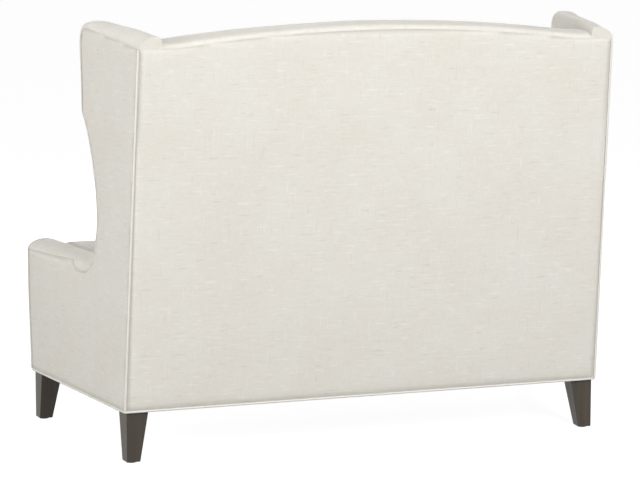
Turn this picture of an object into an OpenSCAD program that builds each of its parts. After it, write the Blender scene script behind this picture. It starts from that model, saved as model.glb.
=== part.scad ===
// High back settee: hardwood frame, sprung seat, padded arms and wings, raked back with an arched crest
// and a loose seat cushion. Millimetres, +Z up, front towards -Y, origin on the floor under the middle.

/* [Overall] */
// Width over the arms at the front
front_w = 1575; // [1300:5:1900]
// Width over the sides at the back
rear_w = 1380; // [1200:5:1500]
// Depth of the body at its foot
body_depth = 674; // [600:2:800]
// Height of the body's underside above the floor
leg_h = 140; // [100:1:200]
// Length of the back at its corners, up its slope
back_l = 985; // [900:5:1150]
// Lean of the back from upright, in degrees
back_lean = 6.5; // [3:0.5:9]

/* [Crest and back] */
// Rise of the crest's arch above the corners
crest_rise = 37; // [15:1:70]
// Half of the arch's span
crest_half_span = 575; // [450:5:600]
// Thickness of the padded back at the crest
crest_t = 150; // [110:1:190]
// Thickness of the padded back at the seat
back_t_at_seat = 175; // [150:1:220]
// How far the back swells forward at the waist of a sitter
back_swell = 10; // [0:1:20]
// Height that the padding stands above the panel edges of the back and wings
edge_crown = 18; // [8:1:26]

/* [Arms] */
// Width of an arm
arm_w = 100; // [88:1:130]
// Height of the arm's top above the floor
arm_h = 522; // [505:1:560]
// Height of the rounded cap on the arm
arm_cap_h = 32; // [20:1:40]
// Thickness of the arm rail
arm_rail_t = 24; // [16:1:30]
// Width of the arm rail and of the arm post
arm_rail_w = 70; // [55:1:72]
// Thickness of the board that lines the arm's inside
arm_liner_t = 3; // [2:1:6]
// Radius of the arm cover's rounded tongue
tongue_r = 66; // [50:1:80]
// How far the tongue drops below the arm's seam
tongue_drop = 20; // [10:1:30]
// Distance of the tongue's middle from the rear foot, along the side
tongue_s = 292; // [280:1:320]

/* [Wings] */
// Thickness of a padded wing
wing_t = 64; // [52:1:80]
// Reach of the wing's top edge from the rear foot, along the side
wing_top_s = 272; // [260:1:330]
// Rise of the wing's top from the back to its front corner
wing_rise = 46; // [20:1:70]
// Rounding of the wing's top corner
wing_corner = 50; // [30:1:70]
// Reach of the wing at its knuckle
knuckle_s = 268; // [240:1:300]
// Height of the knuckle above the floor
knuckle_h = 925; // [880:1:960]
// Reach of the wing at its waist
waist_s = 172; // [160:1:200]
// Height of the waist above the floor
waist_h = 645; // [620:1:700]
// Reach of the wing where it meets the arm's top
wing_foot_s = 208; // [200:1:230]
// How much further the wing reaches at the arm's seam
wing_foot_flare = 22; // [5:1:30]

/* [Frame] */
// Thickness of the frame's boards
frame_t = 22; // [18:1:26]
// Height of the seat rails
seat_rail_h = 190; // [170:1:200]
// Width of a back post
back_post_w = 40; // [34:1:55]
// Height of the crest rail at the corners
crest_rail_h = 110; // [80:1:140]
// Height of the lower back rail's underside, up the slope
lower_rail_rise = 252; // [245:1:300]
// Height of the lower back rail
lower_rail_h = 80; // [60:1:100]
// Width of a back upright and of the centre stretcher
upright_w = 50; // [40:1:70]
// Height of the centre stretcher
stretcher_h = 90; // [60:1:120]
// Gap between the frame's edge and the panel's edge, filled with padding
edge_pad = 12; // [8:1:16]
// Leg length of a corner block
block_l = 125; // [110:1:140]
// Height of a corner block
block_h = 40; // [30:1:60]
// Radius of a frame dowel
dowel_r = 4; // [3:0.5:5]
// Length of a frame dowel
dowel_l = 60; // [40:1:64]

/* [Springs and webbing] */
// Count of seat spring strands
spring_count = 9; // [5:1:11]
// Half of a strand's zigzag width
spring_half_w = 22; // [14:1:26]
// Count of zigzag turns in a strand
spring_turns = 14; // [8:1:18]
// Thickness of the spring wire
spring_t = 3.2; // [2.4:0.1:4]
// Thickness of a clip's sheet above the wire
clip_t = 1.2; // [0.8:0.1:2]
// Length of a clip
clip_l = 26; // [16:1:30]
// Width of the back's webbing
web_w = 50; // [40:1:60]
// Thickness of the webbing
web_t = 2; // [1:0.5:3]
// Count of upright webs
web_count = 9; // [5:1:11]
// Count of level webs
web_rows = 5; // [3:1:6]

/* [Seat deck and cushion] */
// Thickness of the insulator felt
insulator_t = 6; // [3:1:10]
// Thickness of the deck foam
deck_foam_t = 38; // [25:1:45]
// Thickness of the deck cover
deck_cover_t = 3; // [2:1:5]
// Height of the cushion at its seams
cushion_t = 118; // [90:1:118]
// How far the cushion's top swells above its seams
cushion_crown = 18; // [8:1:22]
// How far the cushion's edges draw in between its corners
cushion_draw = 6; // [2:1:10]
// Gap between the cushion and the arms
cushion_side_gap = 8; // [7:1:14]
// Gap between the cushion and the inside back
cushion_back_gap = 9; // [8:1:15]
// Distance of the cushion's front behind the arm fronts
cushion_front_gap = 8; // [7:1:30]
// Gap under the cushion
cushion_lift = 0.3; // [0.3:0.1:1]
// Thickness of the cushion's cover with its wadding
cushion_wrap = 14; // [8:1:20]
// Radius of the cushion's welt
cushion_welt_r = 2.8; // [2:0.1:3]

/* [Covers and trim] */
// Thickness of a cover with its wadding
cover_t = 4; // [3:1:6]
// Thickness of the board behind an outside cover
board_t = 3; // [2:1:5]
// Radius of the welt on the rear corners and round the bottom
welt_r = 3; // [2.9:0.1:3.5]
// Depth of the welt's centre behind the covers' faces
welt_in = 2; // [1.5:0.1:2]
// Gap round a welt
welt_gap = 0.1; // [0.05:0.05:0.2]
// Thickness of the dust cover
dust_t = 2; // [1:1:3]

/* [Legs] */
// Width of a leg at its top
leg_top_w = 62; // [50:1:70]
// Width of a leg at the floor
leg_foot_w = 38; // [30:1:48]
// Distance of a leg behind the body's faces
leg_inset = 9; // [8:1:14]
// Bevel round a leg's foot
leg_bevel = 1.5; // [0.5:0.5:3]
// Radius of the hanger bolts
bolt_r = 4; // [3:0.5:5]
// Depth of a hanger bolt in its leg
bolt_in_leg = 45; // [30:1:55]
// Radius of the threaded insert's barrel
insert_r = 5.5; // [5.5:0.5:7]
// Length of the threaded insert's barrel
insert_l = 12; // [8:1:20]
// Radius of the threaded insert's flange
flange_r = 8; // [7:0.5:8.5]
// Thickness of the threaded insert's flange
flange_t = 1.5; // [1:0.5:3]
// Radius of a glide
glide_r = 12; // [8:1:14]
// Thickness of a glide
glide_t = 3; // [2:1:5]
// Radius of a glide's pin
glide_pin_r = 2; // [1.5:0.5:3]
// Length of a glide's pin
glide_pin_l = 14; // [8:1:20]

/* [Hidden] */
fit_gap = 0.05;
over = 1;
far = front_w + back_l;
skin = cover_t + board_t;
flare = atan((front_w - rear_w) / 2 / body_depth);
side_l = body_depth / cos(flare);
back_rise = back_l * cos(back_lean);
back_setback = back_l * sin(back_lean);
arch_r = (crest_half_span * crest_half_span + crest_rise * crest_rise) / (2 * crest_rise);
depth_behind = body_depth + (back_l + crest_rise) * sin(back_lean);
depth_ahead = welt_r - welt_in;
middle_y = (depth_behind - depth_ahead) / 2;
arm_seam = arm_h - arm_cap_h - leg_h;
rail_top = dust_t + seat_rail_h;
spring_z = rail_top;
insulator_z = spring_z + spring_t + clip_t;
deck_foam_z = insulator_z + insulator_t;
deck_cover_z = deck_foam_z + deck_foam_t;
deck_top = deck_cover_z + deck_cover_t;
cushion_z = deck_top + cushion_lift;
rear_s = -(back_setback + crest_t) / cos(flare);
front_s = side_l + arm_w;
frame_in = skin + frame_t;
post_in = skin + back_post_w;
foam_in = frame_in + 2 * web_t;
cap_shares = [0, 0.04, 0.13, 0.3, 0.5, 0.7, 0.87, 0.96, 1];
cap_power = 2.5;
back_drop_shares = [0.06, 0.25, 0.5, 0.75, 1];
back_stations = 16;
cushion_cols = 14;
cushion_rows = 8;
cushion_power = 4;
welt_sides = 6;
cover_colour = [0.88, 0.86, 0.81];
lining_colour = [0.55, 0.53, 0.5];
wood_colour = [0.76, 0.62, 0.43];
foam_colour = [0.93, 0.87, 0.62];
leg_colour = [0.29, 0.25, 0.22];
metal_colour = [0.6, 0.6, 0.6];

// Points and curves
function cubic(a, b, c, d, t) = pow(1 - t, 3) * a + 3 * t * pow(1 - t, 2) * b + 3 * t * t * (1 - t) * c
    + pow(t, 3) * d;
function cubic_run(a, b, c, d, n) = [for (i = [1:n]) cubic(a, b, c, d, i / n)];
function corner_run(a, b, c, n) = [for (i = [1:n]) let (t = i / n)
    (1 - t) * (1 - t) * a + 2 * t * (1 - t) * b + t * t * c];
function unit(v) = v / norm(v);
function cap(share) = pow(1 - pow(abs(2 * share - 1), cap_power), 1 / cap_power);

// Height of the crest's arch above the corners, up the slope
function arch(x) = abs(x) < crest_half_span ? sqrt(arch_r * arch_r - x * x) - arch_r + crest_rise : 0;

// Distance of a side's plane from the middle, where n is the depth behind the side's face and y is the
// distance behind the front
function side_x(n, y) = rear_w / 2 - (n + (y - body_depth) * sin(flare)) / cos(flare);

// Distance of the rear face behind the front, at a height above the underside
function rear_y(h) = body_depth + h * tan(back_lean);

// Places a left part drawn in the side's own frame: X inwards from the side's face, Y forwards from the
// rear foot, Z up from the underside
module on_side() {
    translate([rear_w / 2, body_depth, leg_h]) rotate([0, 0, 180 + flare]) children();
}

// Places a part drawn in the back's own frame: Y behind the rear face, Z up the slope from the underside
module on_back() {
    translate([0, body_depth, leg_h]) rotate([-back_lean, 0, 0]) children();
}

module on_body() {
    translate([0, -middle_y, 0]) children();
}

module flip(side) {
    mirror([side < 0 ? 1 : 0, 0, 0]) children();
}

// All that lies behind a plane at a depth in front of the rear face
module behind(depth) {
    on_back() translate([-far, -depth, -far]) cube([2 * far, 2 * far, 2 * far]);
}

// All that lies in front of a plane at a distance behind the front
module ahead(y) {
    translate([-far, y - far, -far]) cube([2 * far, far, 2 * far]);
}

// All that lies between a side's face and a depth behind it
module outside(n) {
    on_side() translate([n - far, -far, -far]) cube([far, 2 * far, 2 * far]);
}

// All that lies below a height above the underside
module below(z) {
    translate([-far, -far, leg_h + z - far]) cube([2 * far, 2 * far, far]);
}

module outside_both(n) {
    for (side = [-1, 1]) flip(side) outside(n);
}

// A board standing along the side, from n0 to n1 behind the face and from z0 to z1 above the underside
module side_board(n0, n1, z0, z1) {
    on_side() translate([n0, -far, z0]) cube([n1 - n0, 2 * far, z1 - z0]);
}

// Extrudes an outline of the side, drawn forwards and up, from n0 to n1 behind the face
module side_sheet(n0, n1) {
    on_side() rotate([90, 0, 90]) translate([0, 0, n0]) linear_extrude(n1 - n0) children();
}

// Edge of the wing, from the arm's seam up its front, round the top corner and back along its top
wing_foot = [wing_foot_s, arm_h - leg_h];
wing_root = [wing_foot_s + wing_foot_flare, arm_seam];
waist = [waist_s, waist_h - leg_h];
knuckle = [knuckle_s, knuckle_h - leg_h];
wing_slope = wing_rise / (wing_top_s + back_setback / cos(flare));
function wing_top(s) = back_rise + (s + back_setback / cos(flare)) * wing_slope;
top_front = [wing_top_s, wing_top(wing_top_s) - wing_corner];
top_back = [wing_top_s - wing_corner, wing_top(wing_top_s - wing_corner)];
wing_end = [rear_s, wing_top(rear_s)];
// Shares of the way from one wing point to the next at which the curve's handles lie
foot_lift_share = 0.3;
foot_reach_share = 0.5;
waist_lift_share = 0.34;
knuckle_reach_share = 0.46;
knuckle_lift_share = 0.82;
waist_drop_share = 0.35;
wing_edge = concat([wing_root, wing_foot],
    cubic_run(wing_foot,
        [wing_foot.x - foot_reach_share * (wing_foot.x - waist.x), wing_foot.y
            + foot_lift_share * (waist.y - wing_foot.y)],
        [waist.x, waist.y - waist_drop_share * (waist.y - wing_foot.y)], waist, 4),
    cubic_run(waist,
        [waist.x, waist.y + waist_lift_share * (knuckle.y - waist.y)],
        [waist.x + knuckle_reach_share * (knuckle.x - waist.x), waist.y
            + knuckle_lift_share * (knuckle.y - waist.y)], knuckle, 7),
    [top_front],
    corner_run(top_front, [wing_top_s, wing_top(wing_top_s)], top_back, 5),
    [[0, wing_top(0)], wing_end]);

// The wing's edge moved outwards by a distance, square to itself
function wing_edge_out(out) = let (last = len(wing_edge) - 1) [for (i = [0:last]) let (
    before = wing_edge[max(i - 1, 0)],
    after = wing_edge[min(i + 1, last)],
    along = unit(after - before)) wing_edge[i] + out * [along.y, -along.x]];

// Outline of a whole side, up to the arm's seam and the wing's edge
module side_outline() {
    polygon(concat([[rear_s, 0], [front_s, 0], [front_s, arm_seam]], wing_edge));
}

module tongue_circle() {
    translate([tongue_s, arm_seam + tongue_r - tongue_drop]) circle(r = tongue_r, $fn = 64);
}

// Outline of the board inside the wing, with room for padding round it
module wing_board_outline() {
    difference() {
        polygon(concat(wing_edge_out(-edge_pad), [[rear_s, arm_seam]]));
        translate([rear_s, arm_seam - arm_cap_h]) square([front_s - rear_s, arm_cap_h]);
    }
}

// Solid through rings of points; every ring has as many points as the first, and its first point sees them all
module loft(rings) {
    n = len(rings[0]);
    m = len(rings);
    points = [for (ring = rings) each ring];
    walls = [for (j = [0:m - 2]) for (i = [0:n - 1]) let (k = (i + 1) % n)
        each [[j * n + i, j * n + k, (j + 1) * n + k], [j * n + i, (j + 1) * n + k, (j + 1) * n + i]]];
    ends = [for (i = [1:n - 2]) each [[0, i + 1, i], [(m - 1) * n, (m - 1) * n + i, (m - 1) * n + i + 1]]];
    polyhedron(points, concat(walls, ends));
}

// Padded body of a wing, drawn in by inset all round
module wing_form(inset) {
    low = arm_seam - arm_cap_h - inset;
    sight = waist.y + waist_lift_share * (knuckle.y - waist.y);
    foot = [[rear_s, sight], [rear_s, low], [wing_root.x, low]];
    loft([for (share = cap_shares) let (n = inset + (1 - share) * (wing_t - 2 * inset)) [
        for (p = concat(foot, wing_edge_out(edge_crown * cap(share) - inset))) [n, p.x, p.y]]]);
}

// Body of an arm down to the underside, with its rounded cap, drawn in by inset
module arm_profile(inset, foot) {
    half = arm_w / 2 - inset;
    cap_top = [for (a = [0:7.5:180]) [arm_w / 2 - half * cos(a), arm_seam + (arm_cap_h - inset) * sin(a)]];
    polygon(concat([[arm_w - inset, foot], [inset, foot]], cap_top));
}

module along_arm() {
    on_side() rotate([90, 0, 180]) mirror([1, 0, 0]) translate([0, 0, -far]) linear_extrude(2 * far) children();
}

module arm_body() {
    along_arm() arm_profile(0, 0);
}

// Zones that the flat panels and the frame take up
module side_panel_zone() {
    side_sheet(-far, skin) side_outline();
}

module wing_board_zone() {
    side_sheet(0, frame_in) wing_board_outline();
}

module back_outline(drop) {
    foot = rear_w / 2 + over;
    steps = 24;
    polygon(concat([[-foot, 0], [foot, 0], [foot, back_l - drop]],
        [for (i = [0:steps]) let (x = crest_half_span * (1 - 2 * i / steps)) [x, back_l + arch(x) - drop]],
        [[-foot, back_l - drop]]));
}

// Extrudes an outline of the back from depth d0 to depth d1 in front of the rear face
module back_sheet(d0, d1) {
    on_back() translate([0, -d0, 0]) rotate([90, 0, 0]) linear_extrude(d1 - d0) children();
}

module rear_zone(depth) {
    back_sheet(-far, skin) back_outline(0);
    back_sheet(0, depth) back_outline(edge_pad);
}

// Padded inside back with its rolled crest, drawn in by inset
module back_form(inset) {
    half = rear_w / 2;
    low = deck_top - (inset > 0 ? over : 0);
    loft([for (i = [0:back_stations]) let (
        x = half * (1 - 2 * i / back_stations),
        up = back_l + arch(x),
        top_h = up * cos(back_lean),
        top_y = body_depth + up * sin(back_lean)) concat(
        [for (share = cap_shares) [x, top_y - share * (crest_t - inset), leg_h + top_h - inset
            + edge_crown * cap(share)]],
        [for (share = back_drop_shares) let (
            h = top_h + share * (low - top_h),
            thick = crest_t + share * (back_t_at_seat - crest_t) + back_swell * sin(180 * share * share))
            [x, rear_y(h) - thick + inset, leg_h + h]],
        [[x, rear_y(low) + crest_t, leg_h + low]])]);
}

// Sides

module outside_cover(side) {
    color(cover_colour) on_body() flip(side) difference() {
        side_sheet(0, cover_t) difference() {
            side_outline();
            tongue_circle();
        }
        behind(cover_t);
        ahead(skin);
        corner_welt_rod(welt_gap);
        side_welt_rod(welt_gap);
    }
}

module outside_board(side) {
    color(lining_colour) on_body() flip(side) difference() {
        side_sheet(cover_t, skin) side_outline();
        behind(cover_t);
        ahead(skin);
        corner_welt_rod(welt_gap);
        side_welt_rod(welt_gap);
    }
}

module arm_cover(side) {
    color(cover_colour) on_body() flip(side) difference() {
        union() {
            difference() {
                along_arm() difference() {
                    arm_profile(0, rail_top);
                    arm_profile(cover_t, rail_top - over);
                    translate([-over, 0]) square([skin + over, arm_seam]);
                }
                side_panel_zone();
                wing_board_zone();
            }
            side_sheet(0, cover_t) intersection() {
                tongue_circle();
                side_outline();
            }
        }
        behind(frame_in);
        ahead(skin);
    }
}

module arm_foam(side) {
    inner = skin + arm_rail_w;
    color(foam_colour) on_body() flip(side) difference() {
        along_arm() difference() {
            arm_profile(cover_t, rail_top);
            translate([-over, 0]) square([inner + over, arm_seam]);
        }
        side_panel_zone();
        wing_board_zone();
        behind(frame_in);
        ahead(skin);
    }
}

module arm_front_panel(side) {
    color(cover_colour) on_body() flip(side) difference() {
        intersection() {
            arm_body();
            translate([0, 0, leg_h]) cube([front_w, skin, arm_h]);
        }
        side_welt_rod(welt_gap);
        front_welt_rod(welt_gap);
    }
}

module arm_rail(side) {
    color(wood_colour) on_body() flip(side) difference() {
        side_board(skin, skin + arm_rail_w, arm_seam - arm_rail_t, arm_seam);
        behind(frame_in);
        ahead(skin);
    }
}

module arm_post(side) {
    color(wood_colour) on_body() difference() {
        flip(side) intersection() {
            side_board(skin, skin + arm_rail_w, dust_t, arm_seam - arm_rail_t);
            translate([0, skin, 0]) cube([front_w, frame_t, far]);
        }
        dowel_set(fit_gap);
    }
}

module arm_liner(side) {
    inner = skin + arm_rail_w;
    color(wood_colour) on_body() flip(side) difference() {
        side_board(inner - arm_liner_t, inner, rail_top, arm_seam - arm_rail_t);
        behind(frame_in);
        ahead(frame_in);
    }
}

module wing_cover(side) {
    color(cover_colour) on_body() flip(side) difference() {
        on_side() wing_form(0);
        difference() {
            on_side() wing_form(cover_t);
            behind(cover_t);
        }
        side_panel_zone();
        wing_board_zone();
        arm_body();
        rear_zone(frame_in);
        behind(0);
    }
}

module wing_foam(side) {
    color(foam_colour) on_body() flip(side) difference() {
        on_side() wing_form(cover_t);
        outside(skin);
        wing_board_zone();
        arm_body();
        rear_zone(frame_in);
        behind(cover_t);
    }
}

module wing_board(side) {
    color(wood_colour) on_body() flip(side) difference() {
        wing_board_zone();
        outside(skin);
        behind(frame_in);
    }
}

module side_rail(side) {
    color(wood_colour) on_body() flip(side) difference() {
        side_board(skin, frame_in, dust_t, rail_top);
        behind(frame_in);
        ahead(frame_in);
    }
}

module back_post(side) {
    color(wood_colour) on_body() difference() {
        flip(side) difference() {
            back_sheet(skin, frame_in) square([rear_w, back_l - edge_pad]);
            below(dust_t);
            outside(skin);
            on_side() translate([post_in, -far, -far]) cube([2 * far, 2 * far, 2 * far]);
        }
        dowel_set(fit_gap);
    }
}

// Back

module outside_back_cover() {
    color(cover_colour) on_body() difference() {
        back_sheet(0, cover_t) back_outline(0);
        outside_both(0);
        for (side = [-1, 1]) flip(side) corner_welt_rod(welt_gap);
        rear_welt_rod(welt_gap);
    }
}

module outside_back_board() {
    color(lining_colour) on_body() difference() {
        back_sheet(cover_t, skin) back_outline(0);
        outside_both(skin);
        for (side = [-1, 1]) flip(side) corner_welt_rod(welt_gap);
        rear_welt_rod(welt_gap);
    }
}

module inside_back_cover() {
    color(cover_colour) on_body() difference() {
        back_form(0);
        back_form(cover_t);
        outside_both(wing_t);
        for (side = [-1, 1]) flip(side) arm_body();
        rear_zone(foam_in);
        behind(0);
    }
}

module back_foam() {
    color(foam_colour) on_body() difference() {
        back_form(cover_t);
        translate([-far, -far, 0]) cube([2 * far, 2 * far, leg_h + deck_top]);
        outside_both(wing_t);
        for (side = [-1, 1]) flip(side) arm_body();
        rear_zone(foam_in);
        behind(0);
    }
}

module back_webbing() {
    reach = side_x(arm_w, body_depth) - web_w;
    foot = lower_rail_rise;
    rise = back_l - crest_rail_h / 2 - foot;
    color(lining_colour) on_body() {
        back_sheet(frame_in, frame_in + web_t) for (i = [0:web_count - 1])
            translate([reach * (2 * i / (web_count - 1) - 1) - web_w / 2, foot]) square([web_w, rise]);
        back_sheet(frame_in + web_t, foam_in) for (i = [1:web_rows])
            translate([-reach - web_w / 2, foot + rise * i / (web_rows + 1)]) square([2 * reach + web_w, web_w]);
    }
}

module crest_rail() {
    color(wood_colour) on_body() difference() {
        back_sheet(skin, frame_in) difference() {
            back_outline(edge_pad);
            translate([-far, -far]) square([2 * far, far + back_l - crest_rail_h]);
        }
        outside_both(post_in);
        dowel_set(fit_gap);
    }
}

module lower_back_rail() {
    color(wood_colour) on_body() difference() {
        back_sheet(skin, frame_in) translate([-rear_w / 2, lower_rail_rise]) square([rear_w, lower_rail_h]);
        outside_both(post_in);
        dowel_set(fit_gap);
    }
}

module rear_rail() {
    color(wood_colour) on_body() difference() {
        intersection() {
            back_sheet(skin, frame_in) translate([-rear_w / 2, 0]) square([rear_w, lower_rail_rise]);
            below(rail_top);
        }
        below(dust_t);
        outside_both(post_in);
        dowel_set(fit_gap);
    }
}

module back_uprights() {
    high_foot = lower_rail_rise + lower_rail_h;
    color(wood_colour) on_body() difference() {
        for (side = [-1, 1])
            back_sheet(skin, frame_in) translate([side * upright_x - upright_w / 2, 0]) {
                square([upright_w, lower_rail_rise]);
                translate([0, high_foot]) square([upright_w, back_l - crest_rail_h - high_foot]);
            }
        below(rail_top);
    }
}

// Seat frame

module front_rail() {
    color(wood_colour) on_body() difference() {
        translate([-front_w / 2, skin, leg_h + dust_t]) cube([front_w, frame_t, seat_rail_h]);
        outside_both(skin + arm_rail_w);
        dowel_set(fit_gap);
    }
}

module centre_stretcher() {
    color(wood_colour) on_body() difference() {
        translate([-frame_t / 2, frame_in, leg_h + dust_t]) cube([frame_t, body_depth, stretcher_h]);
        behind(frame_in);
    }
}

// Triangular block in a corner of the seat frame, with the hole for its leg's threaded insert
module corner_block(side, end) {
    flip(side) difference() {
        at_corner(end) linear_extrude(block_h) polygon([[-block_l, -block_l], [block_l, -block_l],
            [block_l, frame_in], [frame_in, block_l], [-block_l, block_l]]);
        outside(frame_in);
        behind(frame_in);
        ahead(frame_in);
        at_leg(end) translate([0, 0, -over]) cylinder(r = insert_r + fit_gap, h = far, $fn = 32);
    }
}

// Places a part at a corner of the seat frame, X inwards and Y towards the middle of the depth
module at_corner(end) {
    if (end < 0) translate([front_w / 2, 0, leg_h + dust_t]) mirror([1, 0, 0]) children();
    else translate([rear_w / 2, body_depth, leg_h + dust_t]) rotate([0, 0, 180]) children();
}

module corner_blocks() {
    color(wood_colour) on_body() for (side = [-1, 1]) for (end = [-1, 1]) corner_block(side, end);
}

// Places of the dowels: between the front rail and the arm posts, and between the back rails and posts
module dowel_set(gap) {
    front_heights = [dust_t + seat_rail_h / 4, dust_t + seat_rail_h * 3 / 4];
    back_heights = [dust_t + seat_rail_h / 4, dust_t + seat_rail_h * 3 / 4, lower_rail_rise + lower_rail_h / 4,
        lower_rail_rise + lower_rail_h * 3 / 4, back_l - crest_rail_h * 3 / 4, back_l - crest_rail_h * 2 / 5];
    middle = skin + frame_t / 2;
    for (side = [-1, 1]) flip(side) {
        for (h = front_heights) translate([side_x(skin + arm_rail_w, middle), middle, leg_h + h])
            rotate([0, 90, 0]) cylinder(r = dowel_r + gap, h = dowel_l + 2 * gap, center = true, $fn = 32);
        for (h = back_heights) let (y = body_depth + h * sin(back_lean) - middle * cos(back_lean))
            translate([side_x(post_in, y), y, leg_h + h * cos(back_lean) + middle * sin(back_lean)])
                rotate([0, 90, 0]) cylinder(r = dowel_r + gap, h = dowel_l + 2 * gap, center = true, $fn = 32);
    }
}

module frame_dowels() {
    color(wood_colour) on_body() dowel_set(0);
}

// Springs and deck

spring_front = skin + frame_t / 2;
spring_back = rear_y(rail_top) - (skin + frame_t / 2) / cos(back_lean);
spring_span = (side_x(arm_w, 0) - arm_w) * rear_w / front_w;
function spring_x(i) = spring_span * (2 * i / (spring_count - 1) - 1);
// Share of the strands at which an upright stands, midway between two of them
upright_share = 0.6;
upright_x = spring_x(floor(upright_share * spring_count) + 1 / 2);

// One strand as a flat zigzag with a straight bar at each end
module spring_strand() {
    step = (spring_back - spring_front - spring_t) / spring_turns;
    w = spring_t;
    bar = spring_half_w;
    for (i = [0:spring_turns]) translate([-bar - w / 2, i * step]) square([2 * bar + w, w]);
    for (i = [0:spring_turns - 1]) translate([(i % 2 == 0 ? bar : -bar) - w / 2, i * step]) square([w, step + w]);
}

module seat_springs() {
    color(metal_colour) on_body() for (i = [0:spring_count - 1])
        translate([spring_x(i), spring_front, leg_h + spring_z]) linear_extrude(spring_t) spring_strand();
}

module spring_clips() {
    lip = clip_l / 4;
    color(metal_colour) on_body() for (i = [0:spring_count - 1])
        for (y = [spring_front, spring_back - spring_t]) translate([spring_x(i), y, leg_h + spring_z])
            difference() {
                translate([-clip_l / 2, -lip / 2, 0]) cube([clip_l, spring_t + lip, spring_t + clip_t]);
                translate([-clip_l, -fit_gap, -over]) cube([2 * clip_l, spring_t + 2 * fit_gap, spring_t + over]);
            }
}

// Sheet that covers the seat between the arms, from the front border to the rear rail
module deck_sheet(z, thickness) {
    on_body() difference() {
        translate([-front_w / 2, skin, leg_h + z]) cube([front_w, far, thickness]);
        outside_both(arm_w);
        behind(frame_in);
    }
}

module deck_insulator() {
    color(lining_colour) deck_sheet(insulator_z, insulator_t);
}

module deck_foam() {
    color(foam_colour) deck_sheet(deck_foam_z, deck_foam_t);
}

module deck_cover() {
    color(lining_colour) deck_sheet(deck_cover_z, deck_cover_t);
}

module front_border() {
    color(cover_colour) on_body() difference() {
        translate([-front_w / 2, 0, leg_h]) cube([front_w, skin, deck_top]);
        outside_both(arm_w);
        front_welt_rod(welt_gap);
    }
}

module dust_cover() {
    color(lining_colour) on_body() difference() {
        translate([-front_w / 2, skin, leg_h]) cube([front_w, far, dust_t]);
        outside_both(skin);
        behind(skin);
        for (side = [-1, 1]) flip(side) for (end = [-1, 1]) at_leg(end)
            cylinder(r = insert_r, h = far, center = true, $fn = 32);
    }
}

// Welts

module corner_welt_rod(gap) {
    line = [-tan(back_lean) * tan(flare), tan(back_lean), 1];
    rise = back_rise - 3 * welt_r;
    translate([side_x(welt_in, body_depth - welt_in / cos(back_lean)), body_depth - welt_in / cos(back_lean), leg_h])
        rotate([-asin(line.y / norm(line)), atan(line.x), 0])
            translate([0, 0, 2 * welt_r]) cylinder(r = welt_r + gap, h = rise * norm(line), $fn = 32);
}

module side_welt_rod(gap) {
    on_side() translate([welt_in, 2 * welt_r, welt_in]) rotate([-90, 0, 0])
        cylinder(r = welt_r + gap, h = side_l - 4 * welt_r, $fn = 32);
}

module front_welt_rod(gap) {
    half = front_w / 2 - 2 * welt_r;
    translate([-half, welt_in, leg_h + welt_in]) rotate([0, 90, 0])
        cylinder(r = welt_r + gap, h = 2 * half, $fn = 32);
}

module rear_welt_rod(gap) {
    half = rear_w / 2 - skin - welt_r;
    translate([-half, body_depth - welt_in, leg_h + welt_in]) rotate([0, 90, 0])
        cylinder(r = welt_r + gap, h = 2 * half, $fn = 32);
}

module corner_welts() {
    color(cover_colour) on_body() for (side = [-1, 1]) flip(side) corner_welt_rod(0);
}

module bottom_welt() {
    color(cover_colour) on_body() {
        front_welt_rod(0);
        rear_welt_rod(0);
        for (side = [-1, 1]) flip(side) side_welt_rod(0);
    }
}

// Legs

// Places a leg's top corner at its corner of the body, turned half way between the two faces
module leg_frame(end) {
    y = end < 0 ? leg_inset : body_depth - leg_inset;
    translate([side_x(leg_inset, y), y, leg_h])
        rotate([0, 0, end < 0 ? flare / 2 : 180 + flare / 2])
            mirror([end < 0 ? 1 : 0, 0, 0]) children();
}

module at_leg(end) {
    leg_frame(end) translate([leg_top_w / 2, leg_top_w / 2, 0]) children();
}

module at_foot(end) {
    leg_frame(end) translate([leg_foot_w / 2, leg_foot_w / 2, -leg_h]) children();
}

module leg_face() {
    foot = glide_t - leg_h;
    polygon([[0, 0], [leg_top_w, 0], [leg_foot_w, foot + leg_bevel], [leg_foot_w - leg_bevel, foot],
        [leg_bevel, foot], [0, foot + leg_bevel]]);
}

module leg(side, end) {
    color(leg_colour) on_body() flip(side) difference() {
        leg_frame(end) intersection() {
            translate([0, leg_top_w, 0]) rotate([90, 0, 0]) linear_extrude(leg_top_w) leg_face();
            rotate([90, 0, 90]) linear_extrude(leg_top_w) leg_face();
        }
        at_leg(end) translate([0, 0, -bolt_in_leg - fit_gap])
            cylinder(r = bolt_r + fit_gap, h = far, $fn = 32);
        at_foot(end) cylinder(r = glide_pin_r + fit_gap, h = glide_t + glide_pin_l + fit_gap, $fn = 24);
    }
}

module hanger_bolts() {
    top = dust_t + block_h + flange_t;
    color(metal_colour) on_body() for (side = [-1, 1]) flip(side) for (end = [-1, 1]) at_leg(end)
        translate([0, 0, -bolt_in_leg]) cylinder(r = bolt_r, h = bolt_in_leg + top, $fn = 32);
}

module threaded_inserts() {
    top = dust_t + block_h;
    color(metal_colour) on_body() for (side = [-1, 1]) flip(side) for (end = [-1, 1]) at_leg(end)
        difference() {
            union() {
                translate([0, 0, top - insert_l]) cylinder(r = insert_r, h = insert_l, $fn = 32);
                translate([0, 0, top]) cylinder(r = flange_r, h = flange_t, $fn = 32);
            }
            cylinder(r = bolt_r + fit_gap, h = far, center = true, $fn = 32);
        }
}

module glides() {
    color(metal_colour) on_body() for (side = [-1, 1]) flip(side) for (end = [-1, 1]) at_foot(end) {
        cylinder(r = glide_r, h = glide_t, $fn = 32);
        cylinder(r = glide_pin_r, h = glide_t + glide_pin_l, $fn = 24);
    }
}

// Cushion

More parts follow.
